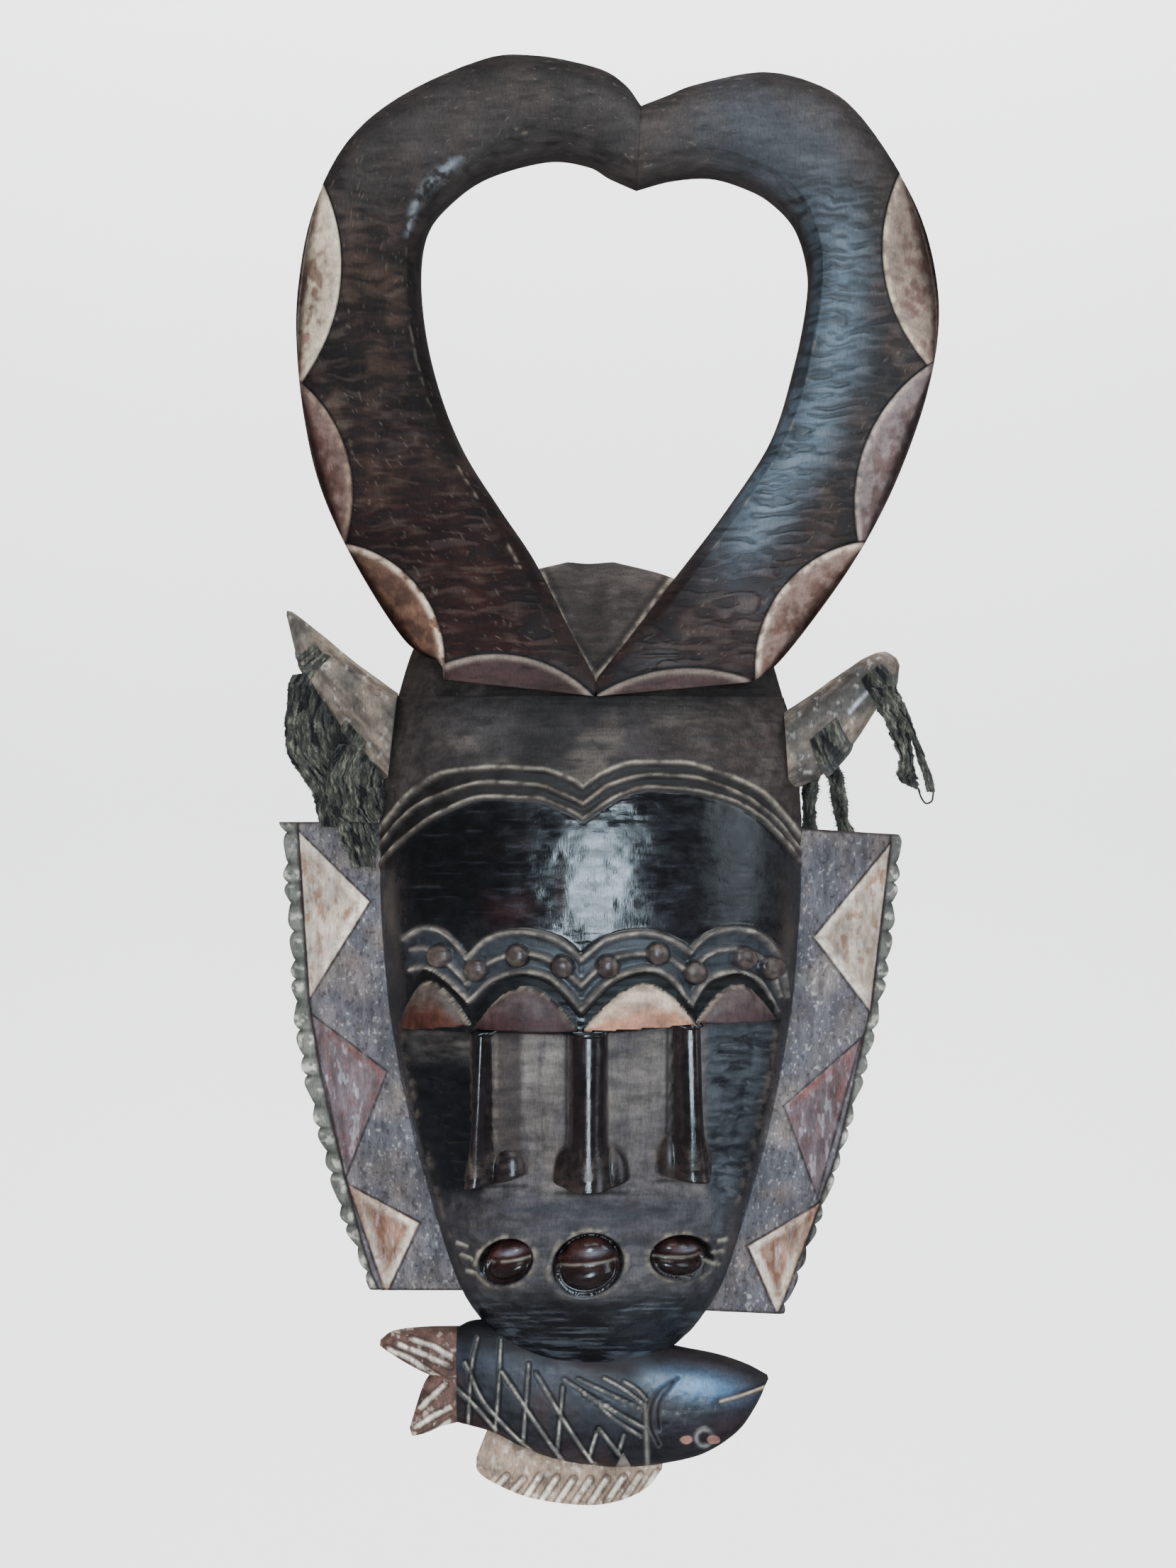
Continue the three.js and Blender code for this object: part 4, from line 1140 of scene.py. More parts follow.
def wing_surface(spec):
    """A wing's surface over a grid that runs down it and from its scalloped edge to its root."""
    side = spec["side"]
    t, v = unit_grid(*WING_MESH)
    z_rough = spec["top"][1] + (spec["bottom"][1] - spec["top"][1]) * t
    wander = 1.5 * np.sin(z_rough * 0.31) + 1.1 * np.sin(z_rough * 0.173 + 1)
    bead = np.abs(np.sin(np.pi * ((z_rough + wander) / SCALLOP_PITCH)))
    edge = curve_through(spec["edge"])(z_rough) - SCALLOP_BITE * (1 - bead**0.7)
    root = np.maximum(HALF_WIDTH(z_rough) - WING_INSET, WING_ROOT)
    x = side * (edge + (root - edge) * v**0.92)
    top, bottom = (low + (high - low) * v for high, low in (spec["top"], spec["bottom"]))
    z = top + (bottom - top) * t
    px, pz = x * WING_SCALE, z * WING_SCALE
    fine, patch = noise(px, pz, 3.0, 181 + side), noise(px, pz, 16, 191 + side)
    return Surface(
        px, pz, srgb(98, 94, 98) * (1.0 if side < 0 else 0.9), 0.2, plan=(x, z), t=t, v=v, bead=bead,
        edge=np.abs(edge), beyond=np.abs(px) - curve_through(spec["line"])(pz), fine=fine, patch=patch,
    )


def paint_wing(w):
    """The dusty floor of the wing."""
    lay, patch = w.lay, w.patch
    speck = noise(w.x, w.z, (1.1, 1.6), 201, 2)
    lay(step(0.5, 0.8, patch) * 0.8, (120, 111, 107), 0.18)
    lay(step(0.55, 0.3, patch) * 0.6, (84, 84, 92), 0.35)
    lay(step(0.55, 0.75, noise(w.x, w.z, (2.2, 7), 205)) * 0.4, (72, 68, 70), 0.3)
    lay(step(0.7, 0.82, speck) * 0.6, (168, 162, 156), 0.15)
    lay(step(0.55, 0.8, noise(w.x, w.z, (9, 12), 195)) * 0.45, (110, 96, 90), 0.2)
    lay(step(0.30, 0.20, speck) * 0.7, (60, 54, 54), 0.3)
    w.height = 0.5 * (w.fine - 0.5) + 0.6 * (patch - 0.5)


def cut_beads(w):
    """The outer strip is a row of cut beads inside a cut seam, with painted highlights on their tops and
    painted shade in the gaps between them.
    """
    lay, bead = w.lay, w.bead
    line = np.abs(w.x) - w.beyond
    out = np.clip(w.beyond / np.maximum(w.edge - line, 1), 0, 1)
    in_strip = step(-0.4, 0.6, w.beyond)
    w.height += in_strip * (-0.6 - 2.0 * (1 - bead) * out**2 - 1.0 * out**2)
    lay(in_strip * 0.95, (98, 98, 92), 0.1)
    # Painted highlights on the tops of the beads.
    lay(in_strip * step(0.5, 0.95, bead) * step(0.5, 0.7, w.fine) * 0.8, (188, 184, 172), 0.1)
    # Painted shade in the gaps between the beads.
    lay(in_strip * step(0.5, 0.1, bead) * (0.35 + 0.5 * out), (50, 52, 50), 0.1)
    seam = peak(w.beyond, 0.7)
    w.height -= 0.9 * seam
    lay(seam * 0.9, (40, 30, 30), 0.3)


def cut_triangle(w, corners, kind):
    """A painted triangle cut into the wing, its floor sloping in from its edges."""
    floor, shade, rim = CUT_PAINT[kind]
    lay, fine = w.lay, w.fine
    into = inside_triangle(w.x, w.z, corners)
    inside = step(-0.1, 0.25, into)
    depth = 0.5 + 2.6 * step(0, 5.0, into)
    w.height = np.where(inside > 0, w.height * (1 - 0.5 * inside) - depth * inside, w.height)
    lay(inside, floor, 0.3)
    streaks = noise(w.x, w.z, (1.8, 8), 211, 3)
    lay(inside * step(0.45, 0.65, 0.5 * streaks + 0.5 * fine) * 0.85, shade, 0.3)
    # Painted highlights: pale bluish dashes on the floor.
    painted_glint = noise(w.x, w.z, (1.6, 5.5), 221)
    lay(inside * step(0.6, 0.74, painted_glint) * 0.4, (180, 180, 190), 0.3)
    # The pale rim runs along the two inner sides and is strongest at the inner corner; a painted shadow
    # lies along the fold inside it.
    inward = step(2.0, 4.5, -w.beyond) * (0.55 + 0.45 * step(5, 22, -w.beyond))
    upper = step(-6, 6, w.z - corners[1][1])
    inward *= 0.25 + 0.75 * upper if kind == "brown" else 1 - 0.35 * upper
    # Painted shade along the fold just inside the rim.
    lay(inside * peak(into - 5.2, 1.6) * inward * 0.5, shade * 0.8, 0.3)
    slope = step(0.2, 0.8, into) * step(5.0, 1.6, into + 1.6 * (w.patch - 0.5)) * inward
    lay(inside * slope * step(0.25, 0.6, fine + 0.1), rim, 0.25)
    outline = peak(into + 0.3, 0.55)
    lay(outline * (0.55 + 0.4 * step(0.3, 0.6, fine)), (42, 32, 32), 0.3)


def make_wing(name):
    spec = WINGS[name]
    w = wing_surface(spec)
    paint_wing(w)
    cut_beads(w)
    for triangle in spec["triangles"]:
        cut_triangle(w, *triangle)
    from_end = np.minimum(w.t, 1 - w.t)
    # Painted shade at the root, where the wing meets the head.
    w.lay(step(0.95, 0.99, w.v) * 0.6, DEEP, 0.3)
    # Painted shade along the wing's top and bottom ends.
    w.lay(step(0.008, 0.001, from_end) * 0.85, (44, 38, 38), 0.2)
    w.height -= 1.6 * np.clip(1 - from_end * WING_LENGTH / 2.0, 0, 1) ** 2
    x, z = w.plan
    round_off = np.clip(1 - np.abs(np.abs(x) - w.edge) / 1.2, 0, 1) ** 2
    front = np.stack([x, -(WING_FRONT + w.height - 1.2 * round_off), z], axis=-1)
    slab(name + "_carved", front, at_y(front, -WING_BACK), w, "wing_wood", [name])


# ------------------------------------------------------------------ lofts: ears, fish
EDGE_POINTS = 300  # along each edge line


def loft_at(edge_a, edge_b, depth, middle_y, power, t, angle):
    """Points on a body lofted between two edge lines. depth(t) is half its depth; the angle is 0 at
    the second edge and a right angle at the middle of the front."""
    even = np.linspace(0, 1, EDGE_POINTS)
    a, b = smooth_line(edge_a, EDGE_POINTS), smooth_line(edge_b, EDGE_POINTS)
    at = [np.interp(t, even, line[:, k]) for line in (a, b) for k in (0, 1)]
    c, s = np.cos(angle), np.sin(angle)
    across = np.sign(c) * np.abs(c) ** (2 / power)
    out = np.sign(s) * np.abs(s) ** (2 / power)
    x = (at[0] + at[2]) / 2 + (at[2] - at[0]) / 2 * across
    z = (at[1] + at[3]) / 2 + (at[3] - at[1]) / 2 * across
    return np.stack([x, middle_y - depth(t) * out, z], axis=-1)


def loft(edge_a, edge_b, depth, middle_y, rings, around, power=2.0):
    t, angle = np.meshgrid(
        np.linspace(0, 1, rings), np.linspace(0, 2 * np.pi, around, endpoint=False), indexing="ij"
    )
    return loft_at(edge_a, edge_b, depth, middle_y, power, t, angle), t, angle


EARS = {
    "ear_left": {
        "upper": [(-80, 38), (-96, 49.5), (-113, 63.5), (-123, 71.3), (-126.2, 72.4)],
        "lower": [(-84, 1), (-92, 9), (-101, 19.5), (-112, 35), (-120.8, 49.6), (-126.4, 70.5)],
        "depth": [(0, 13), (0.3, 11.5), (0.6, 9), (0.85, 5.5), (0.97, 2.0), (1, 0.5)],
    },
    "ear_right": {
        "upper": [(80, 30), (91, 37), (107, 48.3), (115, 53.2), (122, 55.4), (127, 53)],
        "lower": [(82, -3), (95, 3), (107, 14), (119, 31.5), (126, 42), (128.6, 49.5)],
        "depth": [(0, 13), (0.3, 12), (0.6, 10.5), (0.85, 8.2), (0.95, 5.5), (1, 1.5)],
    },
}
EAR_Y = 28.0
EAR_POWER = 2.2
EAR_MESH = (190, 120)


def make_ear(name):
    spec = EARS[name]
    depth = curve_through(spec["depth"])
    points, t, angle = loft(spec["upper"], spec["lower"], depth, -EAR_Y, *EAR_MESH, power=EAR_POWER)
    x, z = points[..., 0], points[..., 2]
    grain = noise(t * 60, angle * 12, (16, 1.6), 221)
    patch = noise(x, z, 11, 231)
    fine = noise(x, z, 2.4, 241)
    left = name == "ear_left"
    paint = Paint(x.shape, (108, 98, 88) if left else (97, 88, 80), 0.35)
    lay = paint.lay
    lay(step(0.5, 0.7, patch), (120, 106, 94), 0.3)
    lay(step(0.5, 0.3, patch) * 0.7, (66, 64, 63), 0.45)
    lay(step(0.5, 0.7, grain) * 0.6, (66, 58, 54), 0.4)
    lay(step(0.7, 0.8, fine) * 0.5, (170, 166, 158), 0.4)
    lay(step(0.72, 0.95, t) * 0.5, (96, 92, 86) if left else (140, 122, 106), 0.3)
    lay(step(0.5, -0.6, np.sin(angle)) * 0.7, (60, 50, 46), 0.25)
    if not left:
        # A pale bluish line across the right ear.
        pale_streak, _ = to_line(x, z, [(107, 30), (115.5, 39.5)])
        lay(peak(pale_streak, 0.8) * step(0, 0.3, np.sin(angle)) * 0.9, (168, 172, 176), 0.5)
    centre = points.mean(axis=1, keepdims=True)
    bumpiness = 1 + 0.05 * (patch - 0.5) + 0.02 * (grain - 0.5)
    points = centre + (points - centre) * bumpiness[..., None]
    ring_body(name + "_carved", points, paint, "ear_wood", [name])


FISH_TOP = [
    (-55.5, -226), (-46, -223), (-20, -224), (0, -226), (20, -229.5), (36, -234), (53, -237.5),
    (65, -241.5), (73.8, -246),
]
FISH_BELLY = [
    (-55.5, -265.5), (-41, -269.5), (-28, -276), (-14, -281), (2, -283.6), (18, -284.2), (31, -282.5),
    (47, -278.5), (61, -269.5), (69, -258.5), (74.2, -247.5),
]
FISH_DEPTH = [(0, 9.5), (0.1, 12), (0.4, 14), (0.75, 13.5), (0.92, 9), (1, 2.5)]
FISH_BARS = [
    [(-46.5, -228), (-49, -240), (-50.5, -264)],
    [(-37, -229), (-38, -250), (-39.5, -269)],
    [(-25.5, -239), (-26.6, -255), (-27.8, -271)],
    [(-11.4, -248.5), (-12.6, -262), (-13.8, -276)],
    [(3.2, -266), (1.4, -271), (-0.3, -277)],
    [(13.8, -268.5), (12.4, -273), (11.2, -276)],
]
FISH_SWEEPS = [
    [(-55.2, -248.8), (-47, -257), (-38.9, -266.5)],
    [(-51.7, -238.4), (-44.7, -253.6), (-35, -265), (-26, -273.6), (-16.6, -280.6)],
    [(-36.5, -242.4), (-26, -258.2), (-18, -270), (-11, -280)],
    [(-22.5, -243), (-12, -260.6), (-4, -273), (2.4, -282)],
    [(3.8, -265.8), (11.4, -275.8), (16.4, -282.4)],
]
FISH_HATCH = [
    [(-10.8, -245.6), (-0.3, -252.4), (9, -261), (20.8, -268.8)],
    [(-2.6, -251.2), (9, -258), (22, -265.3)],
    [(-5, -245.4), (7, -251), (20.8, -257.7)],
    [(5.6, -244.8), (14, -249.6), (22.5, -255.9)],
    [(13.8, -246.2), (19, -249.4), (23.1, -253.6)],
]
FISH_GILLS = [
    [(36, -244.8), (28.5, -250.5), (25.3, -256), (24.6, -264), (28.2, -272.4)],
    [(34, -246.6), (29.4, -253), (27.8, -259), (28.2, -266)],
]
FISH_MOUTH = [(73, -248.2), (62, -252.2), (53.6, -254.5)]
FISH_COLLAR = [(22.6, -256), (23.6, -281)]
FISH_EYE = (47.1, -269.3)
FISH_SPOTS = [(39.6, -270.2, 1.6), (50.9, -270.2, 1.7)]
FISH_NICKS = [
    [(9, -284), (13.5, -275.5), (18.5, -284)], [(-1, -284), (2, -279), (6, -284)],
    [(-16, -282), (-12.5, -276), (-7, -284)],
]
# Coats of paint along a cut line: the distance from the line, the width, the strength, whether it
# is worn, the colour and the gloss.
# The second coat is painted shade beside the cut.
HATCH_COATS = [(0, 0.4, 0.8, True, (172, 166, 154), 0.2), (1.4, 0.5, 0.75, False, DEEP, 0.6)]
# The lines cut into the fish: the lines, their points, their width, their depth and their coats.
FISH_CUTS = [
    (FISH_BARS + FISH_SWEEPS, 14, 0.7, 1.2, [(0, 0.7, 0.9, False, (98, 96, 94), 0.25), *HATCH_COATS]),
    (FISH_HATCH, 14, 0.62, 0.9, [(0, 0.62, 0.9, False, (98, 96, 94), 0.25), *HATCH_COATS]),
    (
        FISH_GILLS, 20, 0.8, 0.9,
        [(0, 0.7, 0.6, False, DEEP, 0.4), (1, 0.45, 0.4, False, (92, 90, 94), 0.4)],
    ),
    ([FISH_COLLAR], 2, 0.9, 1.0, [(0, 0.85, 0.9, False, (116, 112, 106), 0.25)]),
    (
        [FISH_MOUTH], 12, 0.9, 1.7,
        [(0, 1.5, 0.8, False, DEEP, 0.5), (0, 0.55, 1, False, (176, 160, 140), 0.25)],
    ),
]
FISH_MESH, TAIL_MESH, FIN_MESH = (440, 300), (150, 190), (320, 180)


def paint_fish(f):
    """The fish's dark stain, its darker head, a painted blue reflection along its body, a painted blue
    highlight on its head and painted shade along its top under the chin.
    """
    x, z, lay, facing, fine = f.x, f.z, f.lay, f.facing, f.fine
    lay(step(0.35, 0.7, noise(x, z, 14, 261)) * 0.8, (50, 31, 31), 0.6)
    # A painted blue reflection along the body.
    lay(peak(z + 250 + 0.25 * x, 7) * step(24, 10, x) * 0.4, (52, 60, 74), 0.6)
    head = step(14, 30, x)
    lay(head * 0.7, (32, 29, 35), 0.72)
    lay(head * step(-248, -240, z + 0.2 * (x - 40)) * 0.8, (44, 38, 38), 0.35)
    # A painted blue highlight on the head.
    painted_sheen = peak(x - 42, 17) * peak(z + 248 + 0.12 * (x - 42), 5.5)
    lay(painted_sheen * facing * (0.6 + 0.4 * fine), (84, 122, 160), 0.7)
    # Painted shade along the body's top, under the chin.
    lay(step(-246, -238, z + 0.2 * x) * step(26, 14, x) * 0.6, (24, 20, 22), 0.4)


def cut_lines(f):
    """Every line of FISH_CUTS, cut into the front and painted."""
    for lines, count, width, depth, coats in FISH_CUTS:
        for line in lines:
            d, _ = to_line(f.x, f.z, smooth_line(line, count))
            f.height -= depth * peak(d, width) * f.facing
            for offset, reach, share, worn, colour, gloss in coats:
                wear = step(0.4, 0.62, f.fine) if worn else 1
                f.lay(peak(d - offset, reach) * f.facing * wear * share, colour, gloss)


def cut_eye_and_marks(f):
    """The eye is a ring that is open to the front. Pale spots lie beside it, and nicks below."""
    x, z, lay, facing = f.x, f.z, f.lay, f.facing
    eye_x, eye_z = x - FISH_EYE[0], z - FISH_EYE[1]
    eye = np.hypot(eye_x, eye_z)
    gap = step(0.2, 0.8, np.cos(np.arctan2(eye_z, eye_x)))
    ring = peak(eye - 3.4, 0.9) * (1 - 0.75 * gap) * facing
    f.height += 0.7 * ring - 0.5 * peak(eye, 2.2) * facing
    lay(ring * 0.9, (110, 108, 106), 0.3)
    for sx, sz, r in FISH_SPOTS:
        wobble = r * (0.75 + 0.5 * f.fine)
        spot = step(wobble + 0.3, wobble - 0.3, np.hypot((x - sx) / 1.5, z - sz)) * facing
        lay(spot * 0.9, (142, 100, 88), 0.3)
    for corners in FISH_NICKS:
        into = inside_triangle(x, z, corners)
        lay(step(-0.2, 0.4, into) * facing * 0.9, (112, 104, 100), 0.2)
        f.height -= 0.8 * step(-0.2, 0.8, into) * facing


def make_fish_body():
    edges = (FISH_TOP, FISH_BELLY)
    points, _, angle = loft(*edges, curve_through(FISH_DEPTH), -24, *FISH_MESH, power=2.6)
    x, z = on_plane(points)
    fine = noise(x, z, 3, 251)
    f = Surface(x, z, (30, 29, 35), 0.55, facing=step(0.05, 0.4, np.sin(angle)), fine=fine)
    f.height = 0.3 * (fine - 0.5)
    paint_fish(f)
    cut_lines(f)
    cut_eye_and_marks(f)
    points = grow(points, f.height, (0.2, 1.0, 0.2))
    ring_body("fish_body_carved", points, f, "fish_wood", ["fish_body"])


def make_fin(name, edges, lines, depth, y, mesh, power, colour, gloss, seed, nodes):
    """A fin lofted between two edge lines, with pale lines cut in its front and painted shade beside
    them.
    """
    points, _, angle = loft(*edges, curve_through(depth), y, *mesh, power=power)
    x, z = on_plane(points)
    facing = step(0.0, 0.35, np.sin(angle))
    fine = noise(x, z, 2.2, seed)
    paint = Paint(x.shape, colour, gloss)
    lay = paint.lay
    lay(step(0.45, 0.7, noise(x, z, 7, seed + 7)), srgb(*colour) * 0.6, gloss)
    lay(step(0.6, 0.72, fine) * 0.6, (190, 178, 164), 0.2)
    height = 0.5 * (fine - 0.5)
    for line in lines:
        d, along = to_line(x, z, line)
        cut = peak(d, 0.85) * facing * step(0, 0.06, along) * step(1, 0.94, along)
        height -= 1.2 * cut
        lay(cut * 1.2 * step(0.15, 0.5, fine), (222, 213, 198), 0.2)
        # Painted shade beside each cut line.
        lay(peak(d - 1.6, 0.45) * facing * 0.7, (58, 42, 38), 0.3)
    points[..., 1] -= height * facing
    ring_body(name, points, paint, "fin_wood", nodes)


# Each lobe of the tail: its two edges from the root out to its round tip, and its cut lines.
TAIL_LOBES = {
    "upper": (
        ([(-55.2, -226), (-70, -226.4), (-82, -228), (-87.6, -231.5)],
         [(-55.2, -249), (-63, -247.6), (-75, -242), (-87.9, -234)]),
        [[(-84, -232.5), (-74, -237), (-62, -245)], [(-80, -230.5), (-70, -234.5), (-58, -240)],
         [(-74, -228.6), (-65, -231.5), (-56.5, -236.5)]],
    ),
    "lower": (
        ([(-55.2, -243), (-62, -243.5), (-69, -249), (-75.4, -268)],
         [(-55.2, -265.6), (-62, -267.4), (-68, -270), (-74.4, -271.6)]),
        [[(-71, -258), (-65, -252), (-60, -247.5)], [(-71.5, -265), (-65, -260.5), (-57, -256.5)],
         [(-69, -269), (-63, -266), (-57, -262)]],
    ),
}
TAIL_DEPTH = [(0, 9.2), (0.6, 8.2), (0.9, 6), (1, 1.2)]
FIN_TOP = [(-41.5, -266), (-28, -273), (-14, -278), (2, -280.4), (16, -281), (30.4, -279.5)]
FIN_RIM = [
    (-47.6, -281), (-47, -286), (-41, -290.6), (-26, -297), (-5, -300.2), (10, -299), (23, -293.4),
    (29.8, -285.4),
]
FIN_DEPTH = [(0, 6), (0.15, 8), (0.85, 8), (1, 5)]


def make_fins():
    for index, (lobe, (edges, lines)) in enumerate(TAIL_LOBES.items()):
        nodes = ["fish_tail"] if index == 0 else []
        seed = 271 + 20 * index
        make_fin(
            f"fish_tail_{lobe}", edges, lines, TAIL_DEPTH, -22.5, TAIL_MESH, 3.0, (104, 78, 70), 0.35,
            seed, nodes,
        )
    lines = []
    for i in range(10):
        foot = -39 + 6.9 * i
        rise = 9.5 if i > 1 else 7
        low = -290.5 - 5.5 * math.sin(math.pi * (i + 1.2) / 12)
        lines.append([(foot - 2.4, low - 0.6), (foot + 4.4, low + rise)])
    make_fin(
        "fish_fin_carved", (FIN_TOP, FIN_RIM), lines, FIN_DEPTH, -22, FIN_MESH, 3.2, (150, 128, 112),
        0.2, 311, ["fish_fin"],
    )


# ------------------------------------------------------------------ ties
FIBRE = srgb(98, 95, 82)
CLOTH_PAINT = srgb(55, 54, 49)
CRACK_AND_SHADE = srgb(14, 14, 14)
CLOTH_CELL = 0.3  # how fine the cloth's mesh is
STRAP_MESH = (150, 34, 10)  # along a wrap, across its outside and across its inside
CORD_MESH = (110, 40)  # along a root tail and round it
TUBE_MESH = (60, 10)
TAIL_LENGTH = 34  # about how long the root tails are


def cloth_relief(across, along, seed, worn=1.0):
    """Cracked, fibrous cloth at places across and along it: its height and its paint."""
    sway = 0.5 * np.sin(along / 7.0 + seed) + 1.6 * (noise(across, along, (7, 10), seed + 3, 2) - 0.5)
    cracks = noise(across + sway, along, (1.15, 7), seed, 3)
    fibres = noise(across + sway, along, (0.45, 3.2), seed + 5, 2)
    lumps = noise(across, along, (4, 6), seed + 9, 2)
    paint = Paint(across.shape, CLOTH_PAINT, 0.1)
    lay = paint.lay
    lay(step(0.45, 0.75, fibres) * 0.8, FIBRE * worn)
    lay(step(0.5, 0.25, lumps) * 0.6, CLOTH_PAINT * 0.45)
    split = step(0.57, 0.63, cracks)
    lay(split, CRACK_AND_SHADE)
    lay(step(0.44, 0.40, cracks) * step(0.6, 0.7, fibres) * 0.5, FIBRE * 1.4 * worn)
    return 0.3 * (fibres - 0.5) + 2.2 * (lumps - 0.5) - 0.9 * split, paint


def make_strip(
    name, left, right, y, thick, seed, body="carving", nodes=(), ragged=0.9, turn=0.0, shaded=0.0
):
    """A hanging strip between two edge lines. y lists its depth from its top to its foot, turn is
    how far its right edge lies behind its middle, and shaded is how much painted shade darkens it."""
    middle = (smooth_line(left, 60) + smooth_line(right, 60)) / 2
    length = np.linalg.norm(np.diff(middle, axis=0), axis=1).sum()
    rows = int(length / CLOTH_CELL)
    a, b = smooth_line(left, rows), smooth_line(right, rows)
    width = np.linalg.norm(b - a, axis=1)
    columns = max(int(width.mean() / CLOTH_CELL), 8)
    along = np.linspace(0, length, rows)
    t, v = unit_grid(rows, columns)
    wobble = [ragged * (noise(along, along * 0, (1.3, 1), seed + k, 2) - 0.5) for k in (31, 37)]
    v_low, v_high = wobble[0] / width, 1 + wobble[1] / width
    spread = v_low[:, None] + (v_high - v_low)[:, None] * v
    plan = a[:, None, :] + (b - a)[:, None, :] * spread[..., None]
    height, paint = cloth_relief(v * width[:, None], t * length, seed)
    drift = 0.3 * (noise(v * 20, t * length, (5, 9), seed + 41) - 0.5)
    # Painted shade towards the right edge, where the strip turns back towards the head.
    paint.lay(step(0.45, 0.95, v + drift) * shaded, CRACK_AND_SHADE)
    side = np.clip(np.minimum(v, 1 - v) * width[:, None] / 1.2, 0, 1)
    ends = np.clip(np.minimum(t, 1 - t) * length / 1.0, 0, 1)
    body_y = curve_through(list(zip(np.linspace(0, 1, len(y)), y)))(t) + turn * (2 * v - 1)
    puff = thick / 2 * np.sqrt(side * (2 - side)) * np.sqrt(ends * (2 - ends))
    front = np.stack([plan[..., 0], body_y - puff - height * side * ends, plan[..., 1]], axis=-1)
    back = at_y(front, body_y + puff - height * side * ends * 0.8)
    piece = slab(name, front, back, paint, "tie_cloth", nodes, body, bare=False)
    sides, foot = front[4:-2:3], front[-1, ::2]
    edges = np.vstack((sides[:, 0], sides[:, -1], foot))
    out = edges - np.vstack((sides[:, 5], sides[:, -6], front[-6, ::2]))
    fringe = make_fringe(name + "_fray", edges, out, body, seed, 1.2 + ragged * 0.6)
    return piece, fringe, width.mean(), length


def make_fringe(name, spots, out, body, seed, size=1.5):
    """Short loose fibres, each a thin three-sided spike."""
    rng = np.random.default_rng(seed)
    keep = rng.random(len(spots)) < 0.8
    spots, out = spots[keep], out[keep]
    count = len(spots)
    out = out / np.linalg.norm(out, axis=1, keepdims=True)
    out = out * 0.8 + rng.normal(0, 0.45, (count, 3)) + np.array([0, 0, -0.35])
    out /= np.linalg.norm(out, axis=1, keepdims=True)
    lengths = rng.uniform(0.5, 1.0, count) ** 2 * size
    side = np.cross(out, [0.3, 0.9, 0.2])
    side /= np.linalg.norm(side, axis=1, keepdims=True)
    other = np.cross(out, side)
    verts, faces = [], []
    for i in range(count):
        for k in range(3):
            angle = 2 * math.pi * k / 3
            ring = 0.22 * (math.cos(angle) * side[i] + math.sin(angle) * other[i])
            verts.append(spots[i] - 0.5 * out[i] + ring)
        verts.append(spots[i] + out[i] * lengths[i])
        n = 4 * i
        faces += [(n, n + 1, n + 3), (n + 1, n + 2, n + 3), (n + 2, n, n + 3), (n, n + 2, n + 1)]
    colour = np.tile(CLOTH_PAINT * 0.8, (len(verts), 1))
    gloss = np.full(len(verts), 0.1)
    return add_piece(name, verts, np.array(faces), colour, gloss, "tie_cloth", [], body)


def make_strap(name, ear, middle, width, slope, thick, start, seed):
    """A band of cloth round part of an ear: out of a hole in its front and round its lower edge.
    middle and width are shares of the ear's length; slope moves the band along it per radian."""
    spec = EARS[ear]
    depth = curve_through(spec["depth"])
    rows, outside, inside = STRAP_MESH
    angle = np.radians(np.linspace(start, STRAP_END, rows))[:, None]
    under = np.linspace(1, -1, inside + 2)[1:-1]
    s = np.concatenate((np.linspace(-1, 1, outside), under))[None, :]
    outer = (np.arange(outside + inside) < outside)[None, :]
    t = middle + slope * angle + s * width / 2
    t, angle, s = np.broadcast_arrays(t, angle, s)
    ear_at = (spec["upper"], spec["lower"], depth, -EAR_Y, EAR_POWER, t)
    on_ear, opposite = loft_at(*ear_at, angle), loft_at(*ear_at, angle + np.pi)
    out = on_ear - (on_ear + opposite) / 2
    out /= np.maximum(np.linalg.norm(out, axis=-1, keepdims=True), 1e-6)
    height, paint = cloth_relief(s * 5, angle * 9, seed, 0.85)
    taper = np.clip(np.minimum(np.linspace(0, 30, rows), np.linspace(6, 0, rows)), 0, 1)[:, None]
    lift = np.where(outer, thick * np.sqrt(np.clip(1 - s**4, 0, 1)) * taper + height * 0.6 - 0.3, -0.6)
    ring_body(name, on_ear + out * lift[..., None], paint, "tie_cloth", ["tie_" + name])


def make_tail_cord(name, route, seed, body="right_root_tails", radius=2.75):
    """A thick frayed tail, round like a cord."""
    rows, around = CORD_MESH
    line = smooth_space(route, rows)
    angle = np.linspace(0, 2 * np.pi, around, endpoint=False)
    t, a = np.meshgrid(np.linspace(0, 1, rows), angle, indexing="ij")
    across, along = a * radius, t * TAIL_LENGTH
    height, paint = cloth_relief(across, along, seed)
    ragged = 1 + 0.35 * (noise(across, along, (3, 1.6), seed + 51, 2) - 0.5)
    foot = (1 + 0.3 * step(0.75, 1, t)) * ragged
    end = np.sqrt(np.clip(np.minimum(t, 1 - t) * TAIL_LENGTH / 1.4, 0.02, 1))
    r = (radius * (1.12 + 0.12 * np.sin(2 * a + 6 * t)) * foot + height * 0.45) * end
    ring = np.stack([np.cos(a) * r, np.sin(a) * r * 0.9, 0 * r], axis=-1)
    points = line[:, None, :] + ring
    piece = ring_body(name, points, paint, "tie_cloth", ["tie_" + name], body)
    edges = np.vstack((points[6:-1, 0], points[6:-1, around // 2]))
    fringe = make_fringe(name + "_fray", edges, edges - np.tile(line[6:-1], (2, 1)), body, seed, 2.4)


def smooth_space(points, count):
    """count points evenly along a smooth line in space."""
    p = np.array(points, float)
    share = np.linspace(0, 1, len(p))
    want = np.linspace(0, 1, 200)
    lines = [list(zip(share, p[:, k] + 1e-6 * share)) for k in range(3)]
    return resample(np.column_stack([curve_through(line)(want) for line in lines]), count)


